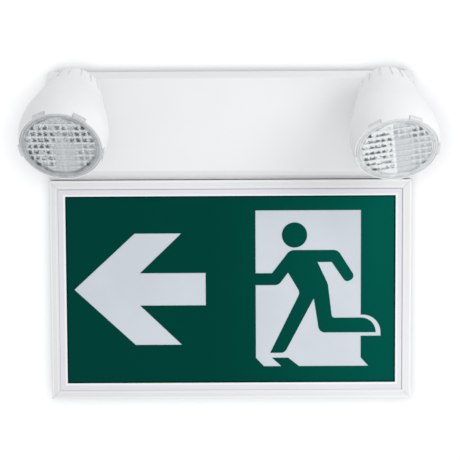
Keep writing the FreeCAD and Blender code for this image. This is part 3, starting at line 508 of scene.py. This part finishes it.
def ribbed_glass(name, place, bands, flutes, radius, look):
    """Clear ribbed moulding over a bright dish, with painted reflections: dark cells and streaks
    between painted highlights on the ribs, and painted shade at the lower edge of the disc.
    """
    f = Finish(name)
    local, across, down, reach = lens_coordinates(f, place)
    grain = f.noise(520.0, 3.0, 0.7, local)
    fine = f.noise(1250.0, 2.0, 0.6, local)
    column = cell_offset(across, 2 * radius / flutes)
    row = cell_offset(down, 2 * radius / bands)
    ragged = (grain - 0.5) * 1.7 + (fine - 0.5) * 1.0
    # Painted reflections: dark cells and dark streaks, in patches over the zones of the disc.
    beads = (column + ragged).spread(1.0, 0.35) * (row + ragged).spread(0.85, 0.3)
    streaks = (row + ragged * 0.75).spread(0.66, 0.22)
    patches = f.noise(230.0, 2.0, 0.5, local).spread(0.34, 0.55, 0.15, 1.0)
    left = (across + ragged * (1.6 * MM)).spread(*look["left"])
    right = across.spread(*look["right"])
    top = down.spread(*look["top"])
    shape = (left * look["left_depth"] + right * look["right_depth"]
             + top * look["top_depth"]).clamped()
    pattern = beads + (streaks - beads) * left * look["streaks"]
    # Painted shade along the lower edge of the disc.
    lip = (reach.spread(radius - 3.0 * MM, radius - 1.2 * MM) * down.spread(4 * MM, 20 * MM)
           * look["lip"])
    fringe = down.spread(27 * MM, 21 * MM) * down.spread(-29 * MM, -22 * MM, 0.3, 1.0)
    dark = (pattern * shape * patches * fringe + fine.spread(0.60, 0.72) * 0.18 + lip).clamped()
    # Painted highlights: pale on the ribs, a bright stripe, glints and a pale speckle.
    painted_ridge_highlights = ((row + ragged * 0.25).spread(0.70, 0.95)
              + (column + ragged * 0.25).spread(0.86, 1.0) * 0.5).clamped()
    stripe = abs(across - look["stripe"] + ragged * (0.6 * MM)).spread(1.8 * MM, 0.8 * MM)
    stripe = stripe * look["stripe_depth"]
    painted_glints = (grain * fine).spread(0.30, 0.36) * shape
    painted_reflection_mottle = fine.spread(0.46, 0.60) * 0.45
    pale = (painted_ridge_highlights * (0.35 + shape * 0.6) + stripe + painted_glints + painted_reflection_mottle
            + left * look["painted_pale_left"]).clamped()
    # Painted reflections: the grey body and the pale and dark colours stand in for what the clear
    # lens shows.
    tint = f.blend(pale, rgba(look["body"]), PAINTED_PALE_REFLECTION)
    tint = f.blend(dark * 0.93, tint, PAINTED_DARK_REFLECTION)
    relief = f.bump(grain, 0.3 * MM, 0.35)
    glass = f.surface(Base_Color=tint, Roughness=0.05 + grain * 0.06, Transmission_Weight=1.0,
                      IOR=1.5, Normal=relief)
    # Diffuse layer that shows the painted reflections over the glass.
    haze = f.surface(Base_Color=tint, Roughness=0.25 + grain * 0.1, Normal=relief)
    share = (look["haze"] + dark * 0.3 + pale * 0.2).clamped()
    return f.done(f.node("ShaderNodeMixShader", {}, {0: share, 1: glass, 2: haze}))


def rim_glass(name, place, settings, look):
    """The lens's flat rim and tabs over the shell's flange, with painted light: a grey tone,
    painted highlights on the inner ring and the outer edge, and a painted shaded ring between.
    """
    f = Finish(name)
    local, _, _, reach = lens_coordinates(f, place)
    flow = f.noise(160.0, 2.0, 0.5, local)
    # Painted highlights near the inner and the outer edge of the rim.
    inner = reach.spread(settings.disc_radius + 1.9 * MM, settings.disc_radius + 1.0 * MM)
    outer = reach.spread(settings.rim_radius - 2.0 * MM, settings.rim_radius - 0.8 * MM)
    tint = f.blend(flow.spread(0.35, 0.65), rgba(look["rim"], 0.93), rgba(look["rim"], 1.05))
    # Painted shade on a ring just outside the disc.
    ring = abs(reach - (settings.disc_radius + 3.0 * MM)).spread(0.9 * MM, 0.3 * MM)
    tint = f.blend(inner * 0.7, tint, rgba(look["rim"], 1.32))
    tint = f.blend(ring * 0.5, tint, rgba(look["rim"], 0.70))
    tint = f.blend(outer * look["painted_rim_edge"], tint, (0.90, 0.91, 0.92, 1))
    relief = f.bump(flow, 0.2 * MM, 0.3)
    glass = f.surface(Base_Color=tint, Roughness=0.06 + flow * 0.05, Transmission_Weight=1.0,
                      IOR=1.5, Normal=relief)
    # Diffuse layer that shows the painted light over the glass.
    haze = f.surface(Base_Color=tint, Roughness=0.22 + flow * 0.1, Normal=relief)
    share = 0.72 + flow * 0.1
    return f.done(f.node("ShaderNodeMixShader", {}, {0: share, 1: glass, 2: haze}))


def cell_sleeve(name):
    """Shrink sleeve on the battery cells, with wrinkles closer together up and down."""
    f = Finish(name)
    wrinkle = f.noise(180.0, 3.0, 0.5, f.scaled(1.0, 1.0, 6.0))
    tint = f.blend(wrinkle, (0.045, 0.16, 0.36, 1), (0.07, 0.24, 0.50, 1))
    return f.done(f.surface(Base_Color=tint, Roughness=0.28 + wrinkle * 0.1,
                            Normal=f.bump(wrinkle, 0.0002, 0.5)))


def solder_mask(name):
    """Green circuit board with the copper tracks showing through its mask."""
    f = Finish(name)
    tracks = f.cells(240.0, "Distance", "DISTANCE_TO_EDGE").spread(0.05, 0.09)
    tint = f.blend(tracks, (0.03, 0.20, 0.08, 1), (0.015, 0.11, 0.05, 1))
    return f.done(f.surface(Base_Color=tint, Roughness=0.3 + tracks * 0.1,
                            Normal=f.bump(tracks, 0.00004, 0.5)))


def domed_lens(name, colour):
    """Coloured translucent plastic of the charge lamp."""
    f = Finish(name)
    swirl = f.noise(300.0, 2.0)
    tint = f.blend(swirl, rgba(colour, 0.8), rgba(colour, 1.1))
    return f.done(f.surface(Base_Color=tint, Roughness=0.1 + swirl * 0.06, Coat_Weight=0.5,
                            Normal=f.bump(f.noise(90.0, 1.0), 0.0001, 0.2)))


def all_finishes(settings):
    """Every finish by the record's slot name."""
    return {
        "white_enamel": powder_coat("white_enamel", settings.housing),
        "frame_white": bar_coat("frame_white", settings.frame_bars),
        "trim_white": trim_plastic("trim_white", settings.trim),
        "lamp_white": moulded("lamp_white", settings.lamp_shell),
        "swivel_white": moulded("swivel_white", settings.lamp_shell, 0.38),
        "holder_white": moulded("holder_white", (0.70, 0.70, 0.66), 0.55),
        "board_white": moulded("board_white", (0.78, 0.78, 0.74), 0.5),
        "terminal_plastic": moulded("terminal_plastic", (0.06, 0.26, 0.12), 0.45),
        "switch_black": moulded("switch_black", (0.03, 0.03, 0.032), 0.35),
        "button_red": moulded("button_red", (0.45, 0.02, 0.02), 0.28),
        "sign_green": sign_film("sign_green", settings.sign_green),
        "sign_white": acrylic("sign_white", settings.sign_white),
        "zinc_steel": galvanised("zinc_steel"),
        "bright_zinc": plated("bright_zinc"),
        "cast_aluminium": cast_metal("cast_aluminium", (0.55, 0.56, 0.57)),
        "transformer_core": cast_metal("transformer_core", (0.12, 0.12, 0.13)),
        "reflector_bright": bright_dish("reflector_bright"),
        "lens_clear": clear_moulding("lens_clear"),
        "bulb_glass": clear_moulding("bulb_glass", (0.97, 0.98, 0.98), 0.01),
        "battery_sleeve": cell_sleeve("battery_sleeve"),
        "board_green": solder_mask("board_green"),
        "pilot_green": domed_lens("pilot_green", (0.05, 0.42, 0.12)),
    }


class EXITLIGHT_OT_finishes(bpy.types.Operator):
    """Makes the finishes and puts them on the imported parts"""
    bl_idname = "exitlight.finishes"
    bl_label = "Apply finishes"

    def execute(self, context):
        finishes = all_finishes(context.scene.exitlight_finish)
        for part in RECORD["subparts"]:
            mesh = NODES[part["node"]].data
            mesh.materials.clear()
            mesh.materials.append(finishes[part["material_slot"]])
        return {"FINISHED"}


# ---------------------------------------------------------------- mesh helpers
def add_piece(name, bm, finish, body, slot, *nodes):
    """Makes an object of a bmesh, rides it on its body and stands it in for its CAD nodes."""
    bmesh.ops.recalc_face_normals(bm, faces=bm.faces)
    mesh = bpy.data.meshes.new(name)
    bm.to_mesh(mesh)
    bm.free()
    mesh.materials.append(bpy.data.materials[finish])
    piece = bpy.data.objects.new(name, mesh)
    bpy.context.scene.collection.objects.link(piece)
    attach(piece, body)
    if nodes:
        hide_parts(*nodes)
    return piece


def smooth_faces(bm, sharp_degrees=35.0):
    """Smooth shading with sharp edges where faces meet at a steep angle."""
    for face in bm.faces:
        face.smooth = True
    for edge in bm.edges:
        if len(edge.link_faces) == 2 and edge.calc_face_angle(0.0) > math.radians(sharp_degrees):
            edge.smooth = False


def spun(bm, profile, degrees=360.0, steps=96, start=0.0):
    """Spins a closed profile of (radius, z) points about Z, fully or from a starting angle."""
    ring = [bm.verts.new((r, 0.0, z)) for r, z in profile]
    edges = [bm.edges.new((a, b)) for a, b in zip(ring, ring[1:] + ring[:1])]
    full = degrees >= 360.0
    geometry = ring + edges
    if not full:
        geometry.append(bm.faces.new(ring))
    bmesh.ops.rotate(bm, verts=ring, cent=(0, 0, 0),
                     matrix=Matrix.Rotation(math.radians(start), 3, "Z"))
    bmesh.ops.spin(bm, geom=geometry, cent=(0, 0, 0), axis=(0, 0, 1), angle=math.radians(degrees),
                   steps=steps, use_merge=full, use_duplicate=False)


# ---------------------------------------------------------------- ribbed lenses
RIB_HEIGHT = 1.5 * MM       # swell of a band at the front
FLUTE_DEPTH = 1.2 * MM      # swell of a flute at the back
DISC_FRONT = -1.0 * MM      # valley of the bands, from the lens plane
DISC_BACK = 0.6 * MM        # valley of the flutes
RIM_FRONT = -2.0 * MM
RIM_BACK = 2.2 * MM
TAB_SPAN = (-2.6 * MM, 1.2 * MM)        # front and back of a tab
TAB_ANGLES = (11, 169, 243, 300)        # degrees round the rim
TAB_HALF = 9.0                          # half a tab's width, in degrees
TAB_STEPS = 8
CROWN_STEPS = 6                         # divisions over one band or flute
TRIM_SIDES = 96                         # cuts that round the disc off
DISC_TURN = {"left": math.radians(-3.3), "right": 0.0}      # turn of the disc in its rim


def swell(position, pitch, height):
    """Rounded ridge: full height at the middle of a pitch, none at its ends."""
    share = position / pitch - math.floor(position / pitch)
    return height * math.sin(math.pi * share) ** 0.8


def ribbed_disc(bm, settings):
    """Disc with bands across its front and flutes down its back."""
    radius = settings.disc_radius
    band = 2 * radius / settings.bands
    flute = 2 * radius / settings.flutes
    bmesh.ops.create_grid(bm, x_segments=settings.flutes * CROWN_STEPS,
                          y_segments=settings.bands * CROWN_STEPS, size=radius)
    for k in range(TRIM_SIDES):
        angle = 2 * math.pi * k / TRIM_SIDES
        out = Vector((math.cos(angle), math.sin(angle), 0.0))
        bmesh.ops.bisect_plane(bm, geom=bm.verts[:] + bm.edges[:] + bm.faces[:], dist=1e-7,
                               plane_co=out * radius, plane_no=out, clear_outer=True)
    back = list(bm.verts)
    extruded = bmesh.ops.extrude_face_region(bm, geom=list(bm.faces), use_keep_orig=True)
    front = [v for v in extruded["geom"] if isinstance(v, bmesh.types.BMVert)]
    for v in front:
        v.co.z = DISC_FRONT - swell(v.co.y + radius, band, RIB_HEIGHT)
    for v in back:
        v.co.z = DISC_BACK + swell(v.co.x + radius, flute, FLUTE_DEPTH)


def rim_profile(settings):
    """Section of the rim: a flat ring with a rounded edge and a small step down to the disc."""
    inner, outer = settings.disc_radius - 0.2 * MM, settings.rim_radius
    step = inner + 1.6 * MM
    return [(inner, RIM_BACK), (inner, DISC_FRONT + 0.2 * MM), (step - 0.3 * MM, DISC_FRONT),
            (step, RIM_FRONT + 0.1 * MM), (step + 0.3 * MM, RIM_FRONT - 0.1 * MM),
            (outer - 0.8 * MM, RIM_FRONT - 0.1 * MM), (outer - 0.2 * MM, RIM_FRONT + 0.2 * MM),
            (outer, RIM_FRONT + 0.8 * MM), (outer, RIM_BACK)]


def tab_profile(settings):
    """Section of a snap tab, standing out from the rim."""
    low, high = TAB_SPAN
    root, tip = settings.rim_radius - 0.5 * MM, settings.tab_radius
    return [(root, low + 0.2 * MM), (tip - 0.3 * MM, low), (tip, low + 0.4 * MM), (tip, high),
            (root, high)]


class EXITLIGHT_OT_lenses(bpy.types.Operator):
    """Models the two ribbed lenses with their rims and snap tabs"""
    bl_idname = "exitlight.lenses"
    bl_label = "Model the lenses"

    def execute(self, context):
        settings = context.scene.exitlight_lens
        rolls = {"left": settings.left_roll, "right": settings.right_roll}
        for side in SIDES:
            turn = Matrix.Rotation(DISC_TURN[side], 4, "Z")
            bm = bmesh.new()
            ribbed_disc(bm, settings)
            bmesh.ops.transform(bm, matrix=turn, verts=bm.verts)
            disc_faces = set(bm.faces)
            spun(bm, rim_profile(settings))
            for angle in TAB_ANGLES:
                spun(bm, tab_profile(settings), 2 * TAB_HALF, TAB_STEPS, angle - TAB_HALF)
            _, place = head_place(side)
            ahead = Matrix.Translation((0, 0, lens_plane(side) - TAB_SPAN[0]))
            whole = place @ ahead @ Matrix.Rotation(rolls[side], 4, "Z")
            bmesh.ops.transform(bm, matrix=whole, verts=bm.verts)
            smooth_faces(bm)
            for face in set(bm.faces) - disc_faces:
                face.material_index = 1
            disc = ribbed_glass(side + "_ribbed_glass", whole @ turn, settings.bands,
                                settings.flutes, settings.disc_radius, LOOKS[side])
            rim = rim_glass(side + "_rim_glass", whole, settings, LOOKS[side])
            lens = add_piece(side + "_ribbed_lens", bm, disc.name, side + "_head", "lens_clear",
                             side + "_lens")
            lens.data.materials.append(rim)
        return {"FINISHED"}


# ---------------------------------------------------------------- vent baffles
VENTS = 16
STEM_ANGLE = 90.0           # where the stem's slot takes the place of vents
STEM_SPREAD = 20.0
BAFFLE_HALF = 1.07 * MM     # half the width of a vent's floor
BAFFLE_SECTION = (          # distance from the head's axis and behind its pin, in millimetres
    (26.14, -4.3), (22.84, 6.71), (22.05, 9.14), (21.08, 11.2),
    (19.4, 11.2), (20.3, 9.0), (21.4, 6.3), (24.6, -4.3))


class EXITLIGHT_OT_baffles(bpy.types.Operator):
    """Models the shallow floors of the vent slots round each head's domed end"""
    bl_idname = "exitlight.baffles"
    bl_label = "Model the vent baffles"

    def execute(self, context):
        for side in SIDES:
            _, place = head_place(side)
            bm = bmesh.new()
            for k in range(VENTS):
                angle = 360.0 / VENTS * (k + 0.5)
                if abs(angle - STEM_ANGLE) < STEM_SPREAD:
                    continue
                section = [bm.verts.new((r * MM, -BAFFLE_HALF, z * MM))
                           for r, z in BAFFLE_SECTION]
                made = bmesh.ops.extrude_face_region(bm, geom=[bm.faces.new(section)],
                                                     use_keep_orig=True)
                far = [v for v in made["geom"] if isinstance(v, bmesh.types.BMVert)]
                bmesh.ops.translate(bm, vec=(0, 2 * BAFFLE_HALF, 0), verts=far)
                bmesh.ops.rotate(bm, verts=section + far, cent=(0, 0, 0),
                                 matrix=Matrix.Rotation(math.radians(angle), 3, "Z"))
            bmesh.ops.transform(bm, matrix=place, verts=bm.verts)
            add_piece(side + "_vent_baffle", bm, "lamp_white", side + "_head", "lamp_white")
        return {"FINISHED"}


# ---------------------------------------------------------------- screws
SHANK_SHARE = 0.52          # shank radius over head radius
CHEEK_SHANK = 7 * MM
BACK_HEAD_RADIUS = 2.9 * MM
FIRST_TURN = 23             # degrees that the first screw's recess is turned
NEXT_TURN = 49              # further turn from screw to screw


def recessed_screw(head_r, head_h, shank_r, length):
    """Pan-head screw along -Z, its head's seat at the origin, with a cross recess."""
    bm = bmesh.new()
    dome = [(0.0, head_h), (head_r * 0.55, head_h * 0.97), (head_r * 0.85, head_h * 0.72),
            (head_r, head_h * 0.25), (head_r, 0.0), (shank_r, 0.0), (shank_r, -length),
            (0.0, -length)]
    ring = [bm.verts.new((r, 0.0, z)) for r, z in dome]
    edges = [bm.edges.new((a, b)) for a, b in zip(ring, ring[1:])]
    bmesh.ops.spin(bm, geom=ring + edges, cent=(0, 0, 0), axis=(0, 0, 1), angle=2 * math.pi,
                   steps=32, use_merge=True, use_duplicate=False)
    bmesh.ops.remove_doubles(bm, verts=bm.verts, dist=1e-7)
    bmesh.ops.recalc_face_normals(bm, faces=bm.faces)
    body = as_object("screw_blank", bm)
    cutter = bmesh.new()
    for turn in (0, 90):
        blade = bmesh.ops.create_cube(cutter, size=1.0)["verts"]
        bmesh.ops.scale(cutter, vec=(head_r * 1.15, head_r * 0.26, head_h * 1.1), verts=blade)
        low = [v for v in blade if v.co.z < 0]
        bmesh.ops.scale(cutter, vec=(0.35, 0.7, 1.0), verts=low)
        bmesh.ops.translate(cutter, vec=(0, 0, head_h), verts=blade)
        bmesh.ops.rotate(cutter, cent=(0, 0, 0), verts=blade,
                         matrix=Matrix.Rotation(math.radians(turn), 3, "Z"))
    tool = as_object("screw_recess", cutter)
    cut = body.modifiers.new("recess", "BOOLEAN")
    cut.operation = "DIFFERENCE"
    cut.solver = "EXACT"
    cut.use_self = True
    cut.object = tool
    finished = bmesh.new()
    finished.from_object(body, bpy.context.evaluated_depsgraph_get())
    for spare in (body, tool):
        bpy.data.objects.remove(spare)
    return finished


def as_object(name, bm):
    """Makes a plain object of a bmesh."""
    mesh = bpy.data.meshes.new(name)
    bm.to_mesh(mesh)
    bm.free()
    made = bpy.data.objects.new(name, mesh)
    bpy.context.scene.collection.objects.link(made)
    return made


def screw_group(name, seats, outwards, sizes, body, node):
    """Copies one recessed screw to every seat, each turned its own way, as one piece."""
    group = bmesh.new()
    for k, (seat, out) in enumerate(zip(seats, outwards)):
        one = recessed_screw(*sizes)
        turn = Vector(out).to_track_quat("Z", "Y").to_matrix().to_4x4()
        own = Matrix.Rotation(math.radians(FIRST_TURN + NEXT_TURN * k), 4, "Z")
        bmesh.ops.transform(one, matrix=Matrix.Translation(seat) @ turn @ own, verts=one.verts)
        mesh = bpy.data.meshes.new("screw_copy")
        one.to_mesh(mesh)
        one.free()
        group.from_mesh(mesh)
        bpy.data.meshes.remove(mesh)
    smooth_faces(group, 30.0)
    return add_piece(name, group, "bright_zinc", body, "bright_zinc", node)


class EXITLIGHT_OT_screws(bpy.types.Operator):
    """Models the cheek screws and the screws of the sign's back with cross recesses"""
    bl_idname = "exitlight.screws"
    bl_label = "Model the screws"

    def execute(self, context):
        low, high = (Vector(c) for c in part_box("cover_screws"))
        head_r = (high.y - low.y) / 2
        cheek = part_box("housing_cover")[1][0]
        seats, outwards = [], []
        for side in (-1, 1):
            for z in (low.z + head_r, high.z - head_r):
                seats.append(Vector((side * cheek, (low.y + high.y) / 2, z)))
                outwards.append((side, 0, 0))
        sizes = (head_r, high.x - cheek, head_r * SHANK_SHARE, CHEEK_SHANK)
        screw_group("cheek_screws", seats, outwards, sizes, "housing", "cover_screws")
        low, high = (Vector(c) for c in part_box("rear_screws"))
        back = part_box("rear_cover")[1][1]
        head_r = BACK_HEAD_RADIUS
        seats, outwards = [], []
        for z in (low.z + head_r, high.z - head_r):
            for x in (low.x + head_r, (low.x + high.x) / 2, high.x - head_r):
                seats.append(Vector((x, back, z)))
                outwards.append((0, 1, 0))
        sizes = (head_r, high.y - back, head_r * SHANK_SHARE, back - low.y)
        screw_group("back_screws", seats, outwards, sizes, "housing", "rear_screws")
        return {"FINISHED"}


# ---------------------------------------------------------------- studio
FLOOR_DROP = 0.30           # floor below the lowest point of the light
WALL_GAP = 4 * MM           # paper behind the back plate
SWEEP_RADIUS = 0.25
ROOM_HALF = 4.0
CONTACT_REACH = 12 * MM     # how far the light darkens the paper beside it
CONTACT_SHADE = 0.70        # paper at the closest contact, over bare paper
ROOM_TINT = (0.97, 0.98, 1.0, 1)
ROOM_GREY = (0.8, 0.8, 0.8, 1)
SWEEP_STEPS = 16
AIM_POINT = (0.0, -0.05, -0.05)
KEY_PLACE, KEY_SIZE = (0.80, -0.85, 0.42), 0.65
LOW_PLACE, LOW_SIZE = (0.50, -0.60, -0.55), 0.50
FRONT_SIZE = 0.56           # lamps just behind the camera
FRONT_BEHIND = 50 * MM


def studio_white(level):
    """White paper with a soft shadow, there for the camera and for distant reflections alone."""
    f = Finish("studio_white")
    seen = f.node("ShaderNodeLightPath")
    far = seen.also("Ray Length").spread(15 * MM, 30 * MM)
    bounced = seen.also("Is Glossy Ray") + seen.also("Is Transmission Ray")
    direct = (seen + bounced * far).clamped()
    facing = 1 - f.node("ShaderNodeNewGeometry").also("Backfacing")
    near = f.node("ShaderNodeAmbientOcclusion", {"samples": 8},
                  {"Distance": CONTACT_REACH}).also("AO")
    tooth = f.noise(700.0, 2.0)
    contact = near.spread(0.45, 1.0) * 0.97 + tooth * 0.03
    bare = (level, level, level)
    tint = f.blend(contact, rgba(bare, CONTACT_SHADE), rgba(bare))
    paper = f.node("ShaderNodeBsdfDiffuse", {}, {"Color": tint})
    clear = f.node("ShaderNodeBsdfTransparent")
    return f.done(f.node("ShaderNodeMixShader", {}, {0: direct * facing, 1: clear, 2: paper}))


def room_light(level):
    """Even pale room, a plain light grey to the eye."""
    world = bpy.data.worlds.new("studio_room")
    room = Nodes(world)
    seen = room.node("ShaderNodeLightPath").also("Is Camera Ray")
    lamp = room.node("ShaderNodeBackground", {}, {"Color": ROOM_TINT, "Strength": level})
    eye = room.node("ShaderNodeBackground", {}, {"Color": ROOM_GREY, "Strength": 1.0})
    mixed = room.node("ShaderNodeMixShader", {}, {0: seen, 1: lamp, 2: eye})
    room.node("ShaderNodeOutputWorld", {}, {"Surface": mixed})
    bpy.context.scene.world = world


def add_lamp(name, place, size, power):
    """Round soft lamp that faces the middle of the light."""
    lamp = bpy.data.lights.new(name, "AREA")
    lamp.shape = "DISK"
    lamp.size = size
    lamp.energy = power
    holder = bpy.data.objects.new(name, lamp)
    holder.location = place
    towards = Vector(AIM_POINT) - Vector(place)
    holder.rotation_euler = towards.to_track_quat("-Z", "Y").to_euler()
    bpy.context.scene.collection.objects.link(holder)
    return holder


def link_lamp(lamp, thing, state):
    """State INCLUDE: the lamp lights this thing alone. EXCLUDE: it lights everything else."""
    group = bpy.data.collections.new(lamp.name + "_link")
    group.objects.link(thing)
    group.collection_objects[0].light_linking.link_state = state
    lamp.light_linking.receiver_collection = group


def add_sweep(level):
    """Floor and wall in one curved sheet, seen only from its front."""
    floor = CAD_BOUNDS[0][2] - FLOOR_DROP
    bm = bmesh.new()
    start = [bm.verts.new((-ROOM_HALF, y, z)) for y, z in
             ((-ROOM_HALF, floor), (WALL_GAP - SWEEP_RADIUS, floor))]
    bm.edges.new(start)
    centre = (-ROOM_HALF, WALL_GAP - SWEEP_RADIUS, floor + SWEEP_RADIUS)
    arc = bmesh.ops.spin(bm, geom=[start[1]], cent=centre, axis=(1, 0, 0), angle=math.pi / 2,
                         steps=SWEEP_STEPS)
    tip = next(v for v in arc["geom_last"] if isinstance(v, bmesh.types.BMVert))
    top = bm.verts.new((-ROOM_HALF, WALL_GAP, ROOM_HALF))
    bm.edges.new((tip, top))
    bmesh.ops.remove_doubles(bm, verts=bm.verts, dist=1e-6)
    made = bmesh.ops.extrude_edge_only(bm, edges=list(bm.edges))
    moved = [v for v in made["geom"] if isinstance(v, bmesh.types.BMVert)]
    bmesh.ops.translate(bm, vec=(2 * ROOM_HALF, 0, 0), verts=moved)
    bm.normal_update()
    probe = max(bm.faces, key=lambda face: face.calc_center_median().z)
    if probe.normal.y > 0:
        bmesh.ops.reverse_faces(bm, faces=bm.faces)
    for face in bm.faces:
        face.smooth = True
    sweep = as_object("studio_sweep", bm)
    sweep.data.materials.append(studio_white(level))
    return sweep


class EXITLIGHT_OT_studio(bpy.types.Operator):
    """Sets the sweep, the lamps, the room light and the camera"""
    bl_idname = "exitlight.studio"
    bl_label = "Set the studio"

    def execute(self, context):
        settings = context.scene.exitlight_studio
        sweep = add_sweep(settings.paper_level)
        room_light(settings.room_level)
        behind = Vector(settings.camera_at) - Vector((0.0, FRONT_BEHIND, 0.0))
        lamps = (("key_lamp", KEY_PLACE, KEY_SIZE, settings.key_power, "EXCLUDE"),
                 ("low_lamp", LOW_PLACE, LOW_SIZE, settings.low_power, "EXCLUDE"),
                 ("front_lamp", behind, FRONT_SIZE, settings.front_power, "EXCLUDE"),
                 ("paper_lamp", behind, FRONT_SIZE, settings.paper_power, "INCLUDE"))
        for name, place, size, power, state in lamps:
            link_lamp(add_lamp(name, place, size, power), sweep, state)
        camera = bpy.data.cameras.new("camera")
        camera.sensor_width = 36.0
        camera.lens = settings.lens_mm
        holder = bpy.data.objects.new("camera", camera)
        turn = (Matrix.Rotation(settings.yaw, 3, "Z")
                @ Matrix.Rotation(math.pi / 2 - settings.pitch, 3, "X")
                @ Matrix.Rotation(-settings.roll, 3, "Z"))
        holder.matrix_world = Matrix.Translation(settings.camera_at) @ turn.to_4x4()
        context.scene.collection.objects.link(holder)
        context.scene.camera = holder
        context.scene.view_settings.view_transform = "Standard"
        return {"FINISHED"}


class EXITLIGHT_PT_panel(bpy.types.Panel):
    """Sidebar panel with every step and setting"""
    bl_label = "Exit light"
    bl_idname = "EXITLIGHT_PT_panel"
    bl_space_type = "VIEW_3D"
    bl_region_type = "UI"
    bl_category = "Exit Light"

    def draw(self, context):
        """Lists every operator, then every setting."""
        for operator in OPERATORS:
            self.layout.operator(operator.bl_idname)
        for group in (context.scene.exitlight_finish, context.scene.exitlight_lens,
                      context.scene.exitlight_studio):
            for name in group.__annotations__:
                self.layout.prop(group, name)


OPERATORS = (EXITLIGHT_OT_finishes, EXITLIGHT_OT_lenses, EXITLIGHT_OT_baffles, EXITLIGHT_OT_screws,
             EXITLIGHT_OT_studio)
GROUPS = (("exitlight_finish", FinishSettings), ("exitlight_lens", LensSettings),
          ("exitlight_studio", StudioSettings))


def register():
    """Registers the settings, the operators and the panel."""
    for name, group in GROUPS:
        bpy.utils.register_class(group)
        setattr(bpy.types.Scene, name, bpy.props.PointerProperty(type=group))
    for cls in OPERATORS + (EXITLIGHT_PT_panel,):
        bpy.utils.register_class(cls)


def unregister():
    """Takes back what register() did."""
    for cls in (EXITLIGHT_PT_panel,) + OPERATORS:
        bpy.utils.unregister_class(cls)
    for name, group in GROUPS:
        delattr(bpy.types.Scene, name)
        bpy.utils.unregister_class(group)


def main():
    """Registers the add-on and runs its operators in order."""
    register()
    bpy.ops.exitlight.finishes()
    bpy.ops.exitlight.lenses()
    bpy.ops.exitlight.baffles()
    bpy.ops.exitlight.screws()
    bpy.ops.exitlight.studio()


if __name__ == "__main__":
    main()
